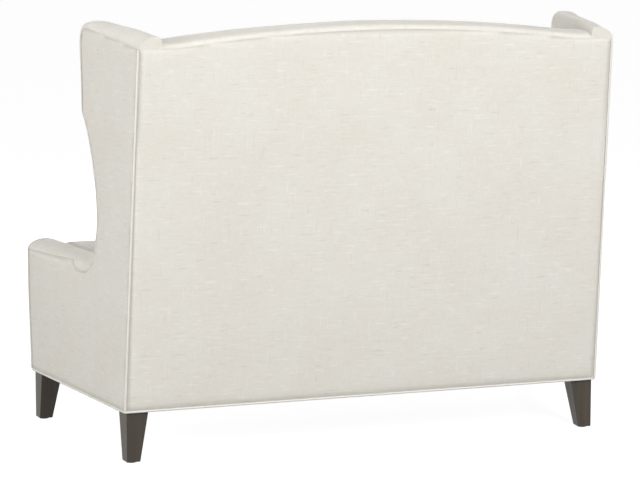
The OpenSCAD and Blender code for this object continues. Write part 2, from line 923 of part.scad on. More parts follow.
cushion_front = cushion_front_gap;
cushion_back = rear_y(deck_top) - back_t_at_seat - back_swell - cushion_back_gap;
cushion_y = (cushion_front + cushion_back) / 2;
cushion_half_d = (cushion_back - cushion_front) / 2;
function cushion_half_w(y) = side_x(arm_w + cushion_side_gap, y);

// Point of the cushion's plan, where u and v run from -1 to 1 across and from front to back
function cushion_plan(u, v) = let (
    y = cushion_y + v * (cushion_half_d - cushion_draw * (1 - u * u)))
    [u * (cushion_half_w(y) - cushion_draw * (1 - v * v)), y];
function cushion_swell(u, v) = cushion_crown * (1 - pow(abs(u), cushion_power)) * (1 - pow(abs(v), cushion_power));

module cushion_form() {
    cols = cushion_cols;
    rows = cushion_rows;
    layer = (cols + 1) * (rows + 1);
    grid = [for (top = [0, 1]) for (j = [0:rows]) for (i = [0:cols]) let (
        u = 2 * i / cols - 1,
        v = 2 * j / rows - 1,
        p = cushion_plan(u, v)) [p.x, p.y, top * (cushion_t + cushion_swell(u, v))]];
    cells = [for (j = [0:rows - 1]) for (i = [0:cols - 1]) j * (cols + 1) + i];
    below = [for (a = cells) each [[a, a + 1, a + cols + 2], [a, a + cols + 2, a + cols + 1]]];
    above = [for (face = below) [face[2] + layer, face[1] + layer, face[0] + layer]];
    rim = concat([for (i = [0:cols]) i], [for (j = [1:rows]) j * (cols + 1) + cols],
        [for (i = [cols - 1:-1:0]) rows * (cols + 1) + i], [for (j = [rows - 1:-1:1]) j * (cols + 1)]);
    n = len(rim);
    walls = [for (k = [0:n - 1]) let (a = rim[k], b = rim[(k + 1) % n])
        each [[a, b + layer, b], [a, a + layer, b + layer]]];
    polyhedron(grid, concat(below, above, walls));
}

module cushion_core_block() {
    in = cushion_wrap + cushion_draw;
    front = cushion_front + in;
    back = cushion_back - in;
    translate([0, 0, cushion_wrap / 2]) linear_extrude(cushion_t - cushion_wrap) polygon([
        [-cushion_half_w(front) + in, front], [cushion_half_w(front) - in, front],
        [cushion_half_w(back) - in, back], [-cushion_half_w(back) + in, back]]);
}

module on_seat() {
    on_body() translate([0, 0, leg_h + cushion_z]) children();
}

module cushion_core() {
    color(foam_colour) on_seat() cushion_core_block();
}

module cushion_cover() {
    color(cover_colour) on_seat() difference() {
        cushion_form();
        cushion_core_block();
    }
}

// Welt round the cushion's rim, with its centre at height z
module cushion_welt_ring(z) {
    cols = cushion_cols;
    rows = cushion_rows;
    rim = concat([for (i = [0:cols - 1]) cushion_plan(2 * i / cols - 1, -1)],
        [for (j = [0:rows - 1]) cushion_plan(1, 2 * j / rows - 1)],
        [for (i = [cols:-1:1]) cushion_plan(2 * i / cols - 1, 1)],
        [for (j = [rows:-1:1]) cushion_plan(-1, 2 * j / rows - 1)]);
    n = len(rim);
    out = cushion_welt_r + cushion_lift;
    points = [for (k = [0:n - 1]) let (
        a = unit(rim[k] - rim[(k + n - 1) % n]),
        b = unit(rim[(k + 1) % n] - rim[k]),
        normal = unit([a.y + b.y, -a.x - b.x]),
        reach = 1 / (normal * [b.y, -b.x]))
        for (m = [0:welt_sides - 1]) let (t = 360 * m / welt_sides, r = out + cushion_welt_r * cos(t))
            [rim[k].x + normal.x * reach * r, rim[k].y + normal.y * reach * r, z + cushion_welt_r * sin(t)]];
    faces = [for (k = [0:n - 1]) for (m = [0:welt_sides - 1]) let (
        a = k * welt_sides + m,
        b = k * welt_sides + (m + 1) % welt_sides,
        c = ((k + 1) % n) * welt_sides + (m + 1) % welt_sides,
        d = ((k + 1) % n) * welt_sides + m) each [[a, b, c], [a, c, d]]];
    polyhedron(points, faces);
}

module cushion_welt() {
    color(cover_colour) on_seat() {
        cushion_welt_ring(cushion_t - cushion_welt_r);
        cushion_welt_ring(cushion_welt_r);
    }
}

outside_cover(1);  // left_outside_cover
outside_cover(-1);  // right_outside_cover
outside_board(1);  // left_outside_board
outside_board(-1);  // right_outside_board
arm_cover(1);  // left_arm_cover
arm_cover(-1);  // right_arm_cover
arm_foam(1);  // left_arm_foam
arm_foam(-1);  // right_arm_foam
arm_front_panel(1);  // left_arm_front_panel
arm_front_panel(-1);  // right_arm_front_panel
arm_rail(1);  // left_arm_rail
arm_rail(-1);  // right_arm_rail
arm_post(1);  // left_arm_post
arm_post(-1);  // right_arm_post
arm_liner(1);  // left_arm_liner
arm_liner(-1);  // right_arm_liner
wing_cover(1);  // left_wing_cover
wing_cover(-1);  // right_wing_cover
wing_foam(1);  // left_wing_foam
wing_foam(-1);  // right_wing_foam
wing_board(1);  // left_wing_board
wing_board(-1);  // right_wing_board
side_rail(1);  // left_side_rail
side_rail(-1);  // right_side_rail
back_post(1);  // left_back_post
back_post(-1);  // right_back_post
outside_back_cover();
outside_back_board();
inside_back_cover();
back_foam();
back_webbing();
crest_rail();
lower_back_rail();
back_uprights();
rear_rail();
front_rail();
centre_stretcher();
corner_blocks();
frame_dowels();
seat_springs();
spring_clips();
deck_insulator();
deck_foam();
deck_cover();
front_border();
dust_cover();
corner_welts();
bottom_welt();
leg(1, -1);  // leg_front_left
leg(-1, -1);  // leg_front_right
leg(1, 1);  // leg_rear_left
leg(-1, 1);  // leg_rear_right
hanger_bolts();
threaded_inserts();
glides();
cushion_core();
cushion_cover();
cushion_welt();
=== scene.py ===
# Looks of the high back settee: covers, padding, cushion, welts, timber and metal finishes, and the stage.
# Metres, +Z up, front towards -Y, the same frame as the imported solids.
import math

import bmesh
import bpy
import numpy as np
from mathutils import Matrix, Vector, noise


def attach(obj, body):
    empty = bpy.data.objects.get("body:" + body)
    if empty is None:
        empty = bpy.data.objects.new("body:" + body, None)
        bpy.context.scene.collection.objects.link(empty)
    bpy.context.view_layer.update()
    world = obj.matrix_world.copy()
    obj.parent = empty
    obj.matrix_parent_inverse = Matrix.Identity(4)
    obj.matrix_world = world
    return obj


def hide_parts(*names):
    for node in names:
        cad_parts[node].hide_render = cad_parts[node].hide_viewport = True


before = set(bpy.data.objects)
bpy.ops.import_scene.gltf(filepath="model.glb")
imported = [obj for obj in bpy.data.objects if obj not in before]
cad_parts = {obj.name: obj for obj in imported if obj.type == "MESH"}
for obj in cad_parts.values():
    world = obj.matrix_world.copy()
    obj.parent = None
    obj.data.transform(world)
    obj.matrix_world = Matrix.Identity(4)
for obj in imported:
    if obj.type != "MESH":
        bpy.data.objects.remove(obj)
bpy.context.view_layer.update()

bl_info = {
    "name": "High back settee",
    "version": (1, 0, 0),
    "blender": (4, 5, 0),
    "location": "3D View > Sidebar > Settee",
    "description": "Covers, padding, cushion and finishes of a high back settee",
    "category": "Object",
}

# Sizes shared with the solids
FRONT_W = 1.575
REAR_W = 1.380
BODY_DEPTH = 0.674
LEG_H = 0.140
BACK_L = 0.985
BACK_LEAN = math.radians(6.5)
CREST_RISE = 0.037
CREST_HALF_SPAN = 0.575
CREST_T = 0.150
BACK_T_AT_SEAT = 0.175
BACK_SWELL = 0.010
EDGE_CROWN = 0.018
EDGE_PAD = 0.012
CAP_POWER = 2.5
ARM_W = 0.100
ARM_H = 0.522
ARM_CAP_H = 0.032
ARM_RAIL_W = 0.070
TONGUE_S = 0.292
WING_T = 0.064
WING_TOP_S = 0.272
WING_CORNER = 0.050
KNUCKLE = (0.268, 0.925 - LEG_H)
WAIST = (0.172, 0.645 - LEG_H)
WING_FOOT = (0.208, ARM_H - LEG_H)
WING_FOOT_FLARE = 0.022
FRAME_T = 0.022
COVER_T = 0.004
SKIN = 0.007
WELT_R = 0.003
WELT_IN = 0.002
DUST_T = 0.002
SEAT_RAIL_H = 0.190
SPRING_T = 0.0032
CLIP_T = 0.0012
INSULATOR_T = 0.006
DECK_FOAM_T = 0.038
DECK_COVER_T = 0.003
CUSHION_DRAW = 0.006
CUSHION_SIDE_GAP = 0.008
CUSHION_BACK_GAP = 0.009
CUSHION_FRONT_GAP = 0.008
CUSHION_LIFT = 0.0003
CUSHION_WELT_R = 0.0028
LOWER_RAIL_RISE = 0.252
CREST_RAIL_H = 0.110
WEB_W = 0.050
WEB_T = 0.002
WEB_COUNT = 9
WEB_ROWS = 5
LEG_INSET = 0.009
LEG_TOP_W = 0.062
INSERT_R = 0.0055

# Sizes of the covers alone, set from the photograph where they differ from the solids
ARM_SEAM_LIFT = 0.003
ARM_SEAM_SLOPE = 0.0435
ARM_FULLNESS = 0.005
ARM_FULL_Z = 0.28
ARM_FULL_S = (0.28, 0.50)
TONGUE_R = 0.097
TONGUE_DROP = 0.008
TONGUE_HALF = 0.068
WING_RISE = 0.040
WING_SWELL = 0.004
BOXED_CROWN = 0.030
CROWN_LEAN_SHARE = 0.75
OUTER_POWER = 1.7
INNER_POWER = 3.0
CUSHION_T = 0.124
CUSHION_ROUND = 0.055
CUSHION_SIDE_SWELL = 0.0055
CUSHION_WELT_FULL = 0.0034
# Widths over which shade is painted into the cloth along the seams of the cushion and of the other covers
CUSHION_SHADE_W = 0.009
SEAM_SHADE_W = 0.0028

# Distances from the wing's rear end between which its edge becomes boxed and its crown leans in or out
BOXED_RUN = (0.35, 0.06)
LEAN_IN_RUN = (0.38, 0.30)
LEAN_OUT_START = (0.35, 0.40)
LEAN_OUT_END = (0.52, 0.44)

# Shares of the curves down the wing's front edge
FOOT_SHARES = (0.5, 0.3)
WAIST_SHARES = (0.35, 0.34)
KNUCKLE_SHARES = (0.46, 0.82)

# Small spaces that keep faces and points apart
FACE_GAP = 0.0004
SEAM_GAP = 0.0003
THIN_GAP = 0.0002
SHEET_GAP = 0.0005
CREST_GAP = 0.0006
OUTLINE_GAP = 0.004
TURN_IN = 0.001
MERGE_GAP = 0.0001
WEB_GAP = 0.0001

# Depth and width of the roll into the seams of the wing, the arm, the crest, the deck and the inside back
WING_ROLL = (0.0016, 0.006)
ARM_ROLL = (0.0011, 0.005)
CREST_ROLL = (0.002, 0.007)
DECK_ROLL = (0.004, 0.014)
BACK_TUCK = (0.009, 0.03)

# Spacing of points: rows beside a seam, grids over panels, and steps along edges
EDGE_ROWS = (0.0008, 0.0014, 0.002, 0.003)
DECK_ROWS = (0.001, 0.0016, 0.003, 0.006)
PANEL_PITCH = 0.014
ARM_FRONT_PITCH = 0.012
DECK_PITCH = 0.022
DUST_PITCH = 0.030
WING_PITCH = 0.011
WING_CUT_PITCH = 0.016
RIM_PITCH = 0.020
CUSHION_WELT_PITCH = 0.008
BOTTOM_WELT_PITCH = 0.006
BOTTOM_WELT_CORNER = 0.007

# Sizes of the covers' slow and quick waver, and of the pull lines at the rear corners
SLOW_WAVER = 0.26
QUICK_WAVER = 0.07
QUICK_SHARE = 0.35
WAVER_REACH = 0.05
PULL_START = 0.03
PULL_LENGTH = 0.26
PULL_PITCH = 0.032
PULL_HEIGHT = 0.0011
PULL_RISE = 0.75
PULL_FAN_SHARE = 0.3

# Seed of each cover's waver, and its share of the unevenness
WAVERS = {
    "outside_back": (3, 0.7),
    "outside_side": (11, 0.6),
    "wing": (21, 0.7),
    "arm": (31, 0.8),
    "arm_front": (41, 0.3),
    "inside_back": (51, 1.0),
    "border": (61, 0.6),
    "deck": (71, 1.0),
}

# How far the flat covers stand out and sag, and the reach from their seams over which they do
BACK_PILLOW_REACH = 0.2
SIDE_PILLOW_REACH = 0.15
PILLOW_POWER = 0.5
PANEL_SWELL = 0.003
ARM_FRONT_REACH = 0.045
ARM_FRONT_POWER = 0.6
ARM_FRONT_ROLL_W = 0.005
BORDER_REACH = 0.08
BORDER_ROLL_W = 0.008
OVER_ARM_RUN = (TONGUE_S - 0.03, TONGUE_S + 0.05)
DECK_SAG = 0.0015
DECK_SAG_REACH = 0.2
DECK_WAVER_SHARE = 0.4
DECK_THINNER = 0.007
DUST_SAG = 0.0008
DUST_SAG_REACH = 0.1
DUST_WAVER = (0.12, 91)
DUST_WAVER_SHARE = 0.6
DUST_SHEET_T = 0.0008

# Places of the wing's hidden hubs, and of its points over the arm and down its inner face
HUB_BELOW_SEAM = 0.03
HUB_BELOW_TOP = 0.075
HUB_IN = 0.02
HUB_BEHIND_EDGE = 0.012
WING_INTO_ARM = 0.0015
WING_SWELL_SHARE = 0.71
WING_SWELL_RATE = 1.4
WING_INSIDE_SHARES = (1, 0.66, 0.33, 0)

# Places of the arm's rings and of the points round each
ARM_FRONT_ROWS = (0, 0.0012, 0.003, 0.006, 0.011)
ARM_ROWS_START = 0.022
ARM_ROWS_PITCH = 0.009
ARM_ROWS_END = 0.005
ARM_SEAM_ROWS = (0, 0.0006, 0.0014, 0.0026, 0.0045, 0.007)
ARM_CAP_START = 0.0105
ARM_CAP_COUNT = 37
ARM_FACE_SHARES = (0.2, 0.4, 0.6, 0.8, 1)
ARM_SKEW_RUN = 0.08
ARM_TUCK = 0.02
ARM_FACE_WAVER_SHARE = 0.6

# Spread of the inside back's points, and how its crest turns and tucks
DROP_POWER = 0.85
ACROSS_SHARE = 0.96
CREST_TUCK_SHARE = 0.35
CREST_TURN = 0.03
CREST_TURN_RISE = 0.004
BACK_FOOT_SHARES = (0.35, 0.7)
BACK_OVERLAP = 0.001

# Filling of the cushion, and the crumples and puckers of its top: height, size and seed
FILL = {"use_pressure": True, "uniform_pressure_force": 4, "quality": 5, "tension_stiffness": 12,
        "compression_stiffness": 12, "shear_stiffness": 6, "bending_stiffness": 0.4}
FILL_STEPS = 20
CRUMPLE = (0.0024, 0.12, 81)
FINE_CRUMPLE = (0.0009, 0.04, 82)
PUCKER = (0.0016, 0.03, 83)
PUCKER_REACH = 0.035
TOP_EDGE_W = 0.012
EDGE_SHARE = 0.1

# Floor, lamps with their places and sizes, and camera
FLOOR_COLOUR = (0.2, 0.2, 0.2)
FLOOR_GLOW = 0.93
WHITE = (1.0, 1.0, 1.0)
LAMPS = {
    "key": ((-0.6, 5.6, 3.3), 2.6),
    "side": ((4.7, 1.05, 1.75), 2.4),
    "front": ((-1.6, -5.4, 1.7), 2.8),
}
LAMP_TARGET = (0.0, 0.0, 0.55)
CAMERA_PLACE = (2.4204, 6.7497, 1.5923)
CAMERA_TARGET = (0.0194, -0.05735, 0.5277)

SMOOTH_ANGLE = math.radians(50)
SIDES = ((1, "left"), (-1, "right"))

FLARE = math.atan((FRONT_W - REAR_W) / 2 / BODY_DEPTH)
BACK_RISE = BACK_L * math.cos(BACK_LEAN)
BACK_SETBACK = BACK_L * math.sin(BACK_LEAN)
ARCH_R = (CREST_HALF_SPAN ** 2 + CREST_RISE ** 2) / (2 * CREST_RISE)
DEPTH_BEHIND = BODY_DEPTH + (BACK_L + CREST_RISE) * math.sin(BACK_LEAN)
MIDDLE_Y = (DEPTH_BEHIND - (WELT_R - WELT_IN)) / 2
ARM_SEAM = ARM_H - ARM_CAP_H - LEG_H
RAIL_TOP = DUST_T + SEAT_RAIL_H
DECK_BASE = RAIL_TOP + SPRING_T + CLIP_T
DECK_TOP = DECK_BASE + INSULATOR_T + DECK_FOAM_T + DECK_COVER_T
FRAME_IN = SKIN + FRAME_T
FOAM_IN = FRAME_IN + 2 * WEB_T
WING_SLOPE = WING_RISE / (WING_TOP_S + BACK_SETBACK / math.cos(FLARE))

# Places in the part


def side_x(n, y):
    """Distance from the middle of a plane n behind a side's face, y behind the front"""
    return REAR_W / 2 - (n + (y - BODY_DEPTH) * math.sin(FLARE)) / math.cos(FLARE)


def rear_y(h):
    return BODY_DEPTH + h * math.tan(BACK_LEAN)


def arch(x):
    inside = np.sqrt(np.maximum(ARCH_R ** 2 - np.square(x), 0)) - ARCH_R + CREST_RISE
    return np.where(np.abs(x) < CREST_HALF_SPAN, inside, 0.0)


def cap(share):
    return (1 - np.abs(2 * np.asarray(share, float) - 1) ** CAP_POWER) ** (1 / CAP_POWER)


def leaning_cap(share):
    """Rounded crown that rises slowly from its outer side and turns down sharply at its inner side"""
    if share < CROWN_LEAN_SHARE:
        return (1 - (1 - share / CROWN_LEAN_SHARE) ** OUTER_POWER) ** (1 / OUTER_POWER)
    past = (share - CROWN_LEAN_SHARE) / (1 - CROWN_LEAN_SHARE)
    return max(0.0, 1 - past ** INNER_POWER) ** (1 / INNER_POWER)


def eased(value, start, end):
    """Smooth step of a value from 0 at start to 1 at end"""
    share = np.clip((np.asarray(value, float) - start) / (end - start), 0, 1)
    return share * share * (3 - 2 * share)


def grown(distance, reach, power=1.0):
    """Share that rises from 0 at an edge to 1 at a reach from it"""
    return np.clip(distance / reach, 0, 1) ** power


def stacked(x, y, z):
    return np.stack(np.broadcast_arrays(x, y, z), -1).astype(float)


def on_side(side, n, s, z):
    """Points of a side: n inwards from its face, s forwards from the rear foot, z above the underside"""
    x = REAR_W / 2 - n * math.cos(FLARE) + s * math.sin(FLARE)
    y = BODY_DEPTH - n * math.sin(FLARE) - s * math.cos(FLARE) - MIDDLE_Y
    return stacked(side * x, y, LEG_H + z)


def on_back(x, depth, rise):
    """Points of the back: depth in front of the rear face, rise up its slope"""
    y = BODY_DEPTH - depth * math.cos(BACK_LEAN) + rise * math.sin(BACK_LEAN) - MIDDLE_Y
    z = LEG_H + depth * math.sin(BACK_LEAN) + rise * math.cos(BACK_LEAN)
    return stacked(x, y, z)


def on_body(x, y, z):
    return stacked(x, np.asarray(y) - MIDDLE_Y, LEG_H + np.asarray(z))


def rear_s(n, z, depth=0.0):
    """Place along a side of the plane at a depth in front of the rear face"""
    reach = z * math.tan(BACK_LEAN) - depth / math.cos(BACK_LEAN)
    return -(reach + n * math.sin(FLARE)) / math.cos(FLARE)


def front_s(n, depth):
    """Place along a side of the plane at a depth behind the front"""
    return (BODY_DEPTH - depth - n * math.sin(FLARE)) / math.cos(FLARE)


def arm_top(n):
    """Height of the arm's rounded cap at a depth behind the side's face"""
    half = ARM_W / 2
    share = np.clip((n - half) / half, -1, 1)
    return ARM_SEAM + ARM_CAP_H * np.sqrt(1 - share ** 2)


def arm_round(z):
    """Depth behind the side's face of the outer half of the arm's rounded cap, at a height"""
    share = np.clip((np.asarray(z, float) - ARM_SEAM) / ARM_CAP_H, 0, 1)
    return ARM_W / 2 * (1 - np.sqrt(1 - share ** 2))


def arm_seam(s):
    """Height of the seam between a side's cover and the arm's, with its dip round the tongue"""
    s = np.asarray(s, float)
    line = ARM_SEAM + ARM_SEAM_LIFT + ARM_SEAM_SLOPE * (front_s(0, 0) - s)
    off = np.clip(np.abs(s - TONGUE_S), 0, TONGUE_R)
    dip = ARM_SEAM - TONGUE_DROP + TONGUE_R - np.sqrt(TONGUE_R ** 2 - off ** 2)
    return np.minimum(np.minimum(line, dip), TONGUE_END[1])


def arm_fullness(s, z):
    """How far the arm's padding stands out of the side's face"""
    return ARM_FULLNESS * eased(z, 0, ARM_FULL_Z) * eased(s, *ARM_FULL_S)


def full_share(n):
    """Share of the arm's fullness at a depth behind the side's face: all of it over the outer half"""
    return 1 - eased(n, ARM_W / 2, ARM_W)


def wing_top(s):
    return BACK_RISE + (s + BACK_SETBACK / math.cos(FLARE)) * WING_SLOPE


TONGUE_END = (TONGUE_S - TONGUE_HALF,
              ARM_SEAM - TONGUE_DROP + TONGUE_R - math.sqrt(TONGUE_R ** 2 - TONGUE_HALF ** 2))

# Curves


def cubic(a, b, c, d, count):
    t = np.linspace(0, 1, count + 1)[1:, None]
    a, b, c, d = (np.array(p) for p in (a, b, c, d))
    return (1 - t) ** 3 * a + 3 * t * (1 - t) ** 2 * b + 3 * t * t * (1 - t) * c + t ** 3 * d


def corner(a, b, c, count):
    t = np.linspace(0, 1, count + 1)[1:, None]
    a, b, c = (np.array(p) for p in (a, b, c))
    return (1 - t) ** 2 * a + 2 * t * (1 - t) * b + t * t * c


def wing_edge():
    """Edge of the wing in the side's plane, from the arm's seam up its front and back along its top"""
    root = (WING_FOOT[0] + WING_FOOT_FLARE, ARM_SEAM)
    fall = WAIST[1] - WING_FOOT[1]
    rise = KNUCKLE[1] - WAIST[1]
    low = cubic(WING_FOOT,
                (WING_FOOT[0] - FOOT_SHARES[0] * (WING_FOOT[0] - WAIST[0]),
                 WING_FOOT[1] + FOOT_SHARES[1] * fall),
                (WAIST[0], WAIST[1] - WAIST_SHARES[0] * fall), WAIST, 12)
    high = cubic(WAIST, (WAIST[0], WAIST[1] + WAIST_SHARES[1] * rise),
                 (WAIST[0] + KNUCKLE_SHARES[0] * (KNUCKLE[0] - WAIST[0]),
                  WAIST[1] + KNUCKLE_SHARES[1] * rise), KNUCKLE, 20)
    front = (WING_TOP_S, wing_top(WING_TOP_S) - WING_CORNER)
    back = (WING_TOP_S - WING_CORNER, wing_top(WING_TOP_S - WING_CORNER))
    turn = corner(front, (WING_TOP_S, wing_top(WING_TOP_S)), back, 10)
    end_s = rear_s(0, BACK_RISE)
    return np.vstack([[root], [WING_FOOT], low, high, [front], turn, [(end_s, wing_top(end_s))]])


def respaced(line, pitch):
    """The same line with its points a pitch apart"""
    run = run_lengths(line, 0)
    count = max(2, int(round(run[-1] / pitch)))
    at = np.linspace(0, run[-1], count + 1)
    return np.stack([np.interp(at, run, line[:, k]) for k in range(line.shape[1])], 1)


def outward(line):
    """Directions square to a plane line, on the right of its way"""
    along = np.gradient(line, axis=0)
    along /= np.linalg.norm(along, axis=1)[:, None]
    return np.stack([along[:, 1], -along[:, 0]], 1)


def run_lengths(points, axis):
    """Distance run along one axis of a grid of points"""
    steps = np.linalg.norm(np.diff(points, axis=axis), axis=-1)
    total = np.cumsum(steps, axis=axis)
    zero = np.zeros_like(np.take(total, [0], axis=axis))
    return np.concatenate([zero, total], axis=axis)


def waver(points, size, seed):
    """Smooth unevenness from -1 to 1 with features of the given size"""
    shift = Vector((seed * 3.17, seed * 1.73, seed * 2.41))
    flat = np.asarray(points, float).reshape(-1, np.shape(points)[-1])
    if flat.shape[1] == 2:
        flat = np.column_stack([flat, np.zeros(len(flat))])
    found = [noise.noise(Vector(p) / size + shift) for p in flat]
    return np.array(found).reshape(np.shape(points)[:-1])


def edge_distance(points, outline):
    """Distance of each plane point from a closed outline"""
    best = np.full(len(points), 1e9)
    for a, b in zip(outline, np.roll(outline, -1, axis=0)):
        way = b - a
        length = max(float(way @ way), 1e-12)
        share = np.clip(((points - a) @ way) / length, 0, 1)
        best = np.minimum(best, np.linalg.norm(points - a - share[:, None] * way, axis=1))
    return best


# Making pieces


def only(piece):
    """Selects one piece and nothing else"""
    bpy.ops.object.select_all(action="DESELECT")
    piece.select_set(True)
    bpy.context.view_layer.objects.active = piece


def apply_all(piece):
    only(piece)
    for modifier in list(piece.modifiers):
        bpy.ops.object.modifier_apply(modifier=modifier.name)


def finish_piece(piece, body, finish, nodes):
    """Shades a piece, gives it its finish, ties it to its body and hides the solids it stands for"""
    only(piece)
    bpy.ops.object.shade_smooth_by_angle(angle=SMOOTH_ANGLE)
    piece.data.materials.clear()
    piece.data.materials.append(finish)
    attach(piece, body)
    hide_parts(*nodes)


def joined(parts, name):
    """Joins pieces into one and names it"""
    only(parts[0])
    for part in parts[1:]:
        part.select_set(True)
    bpy.ops.object.join()
    parts[0].name = name
    return parts[0]


def piece_from(name, mesh_points, faces, places=None):
    """Makes a mesh piece; places are the cloth's own coordinates in metres, one for each point"""
    mesh = bpy.data.meshes.new(name)
    mesh.from_pydata([tuple(p) for p in mesh_points], [], faces)
    mesh.validate()
    if places is not None:
        layer = mesh.uv_layers.new(name="Weave")
        index = np.zeros(len(mesh.loops), int)
        mesh.loops.foreach_get("vertex_index", index)
        layer.data.foreach_set("uv", np.asarray(places, float)[index].ravel())
    piece = bpy.data.objects.new(name, mesh)
    bpy.context.scene.collection.objects.link(piece)
    return piece


def face_out(piece):
    """Merges points that lie together and turns every face of a closed piece outwards"""
    bm = bmesh.new()
    bm.from_mesh(piece.data)
    bmesh.ops.remove_doubles(bm, verts=bm.verts, dist=MERGE_GAP)
    bmesh.ops.dissolve_degenerate(bm, dist=MERGE_GAP / 10, edges=bm.edges)
    bmesh.ops.recalc_face_normals(bm, faces=bm.faces)
    bm.to_mesh(piece.data)
    bm.free()
    piece.data.update()


def sleeve(name, rings, closed_run=False):
    """Closed piece swept through rings of points, with its weave running along the sweep"""
    rows, cols = rings.shape[:2]
    faces = []
    for j in range(rows if closed_run else rows - 1):
        k = (j + 1) % rows
        for i in range(cols):
            m = (i + 1) % cols
            faces.append((j * cols + i, j * cols + m, k * cols + m, k * cols + i))
    if not closed_run:
        faces.append(tuple(range(cols - 1, -1, -1)))
        faces.append(tuple(range((rows - 1) * cols, rows * cols)))
    across = run_lengths(rings, 1)
    across = across - across[:, :1]
    along = np.repeat(run_lengths(rings, 0)[:, cols // 4][:, None], cols, 1)
    places = np.stack([along, across], -1).reshape(-1, 2)
    piece = piece_from(name, rings.reshape(-1, 3), faces, places)
    face_out(piece)
    return piece


def tube(name, path, radius, sides, closed):
    """Round cord of cloth along a path, with its weave on the bias"""
    path = np.asarray(path, float)
    if closed:
        along = np.roll(path, -1, axis=0) - np.roll(path, 1, axis=0)
    else:
        along = np.gradient(path, axis=0)
    along /= np.linalg.norm(along, axis=1)[:, None]
    up = np.array([0.0, 0.0, 1.0]) if abs(along[0][2]) < 0.9 else np.array([0.0, 1.0, 0.0])
    across = np.cross(along, up)
    across /= np.linalg.norm(across, axis=1)[:, None]
    lift = np.cross(across, along)
    turn = np.linspace(0, 2 * math.pi, sides, endpoint=False)
    rings = path[:, None, :] + radius * (np.cos(turn)[None, :, None] * across[:, None, :]
                                         + np.sin(turn)[None, :, None] * lift[:, None, :])
    return sleeve(name, rings, closed)


def panel(name, outline, rings, pitch, place, holes=()):
    """Flat cloth cut to an outline, with rows of points along its edge and a grid over the rest.

    place turns the cut's coordinates and the distance from its edge into points of the part.
    """
    bm = bmesh.new()
    loop = [bm.verts.new((p[0], p[1], 0)) for p in outline]
    if holes:
        edges = [bm.edges.new((a, b)) for a, b in zip(loop, loop[1:] + loop[:1])]
        for hole in holes:
            ring = [bm.verts.new((p[0], p[1], 0)) for p in hole]
            edges += [bm.edges.new((a, b)) for a, b in zip(ring, ring[1:] + ring[:1])]
        bmesh.ops.triangle_fill(bm, edges=edges, use_beauty=True, normal=(0, 0, 1))
    else:
        middle = bm.faces.new(loop)
        for width in rings:
            bmesh.ops.inset_region(bm, faces=[middle], thickness=width, use_even_offset=True)
    low, high = np.min(outline, axis=0), np.max(outline, axis=0)
    for axis in (0, 1):
        count = int((high[axis] - low[axis]) / pitch)
        for i in range(1, count + 1):
            at = [0.0, 0.0, 0.0]
            at[axis] = low[axis] + (high[axis] - low[axis]) * i / (count + 1)
            way = [0.0, 0.0, 0.0]
            way[axis] = 1.0
            bmesh.ops.bisect_plane(bm, geom=bm.verts[:] + bm.edges[:] + bm.faces[:],
                                   plane_co=at, plane_no=way, dist=1e-5)
    bmesh.ops.recalc_face_normals(bm, faces=bm.faces)
    bm.verts.ensure_lookup_table()
    cut = np.array([(v.co.x, v.co.y) for v in bm.verts])
    faces = [[v.index for v in f.verts] for f in bm.faces]
    bm.free()
    edges = [np.asarray(outline)] + [np.asarray(hole) for hole in holes]
    from_edge = np.min([edge_distance(cut, edge) for edge in edges], axis=0)
    piece = piece_from(name, place(cut[:, 0], cut[:, 1], from_edge), faces, cut)
    # Closeness to the edge, along which the finish paints shade into the seam
    layer = piece.data.attributes.new("Seam", "FLOAT", "POINT")
    layer.data.foreach_set("value", np.clip(1 - from_edge / SEAM_SHADE_W, 0, 1))
    return piece


def thicken(piece, thickness, way):
    """Gives a cloth its thickness behind its face; way points out of the face"""
    total = sum((p.normal * p.area for p in piece.data.polygons), Vector())
    if total.dot(Vector(way)) < 0:
        piece.data.flip_normals()
    modifier = piece.modifiers.new("Thickness", "SOLIDIFY")
    modifier.thickness = thickness
    modifier.offset = -1
    apply_all(piece)


def rolled(from_edge, depth, width):
    """How far a cover sinks towards its seam, by the distance from the seam"""
    return depth * np.clip(1 - from_edge / width, 0, 1) ** 2


# Nodes


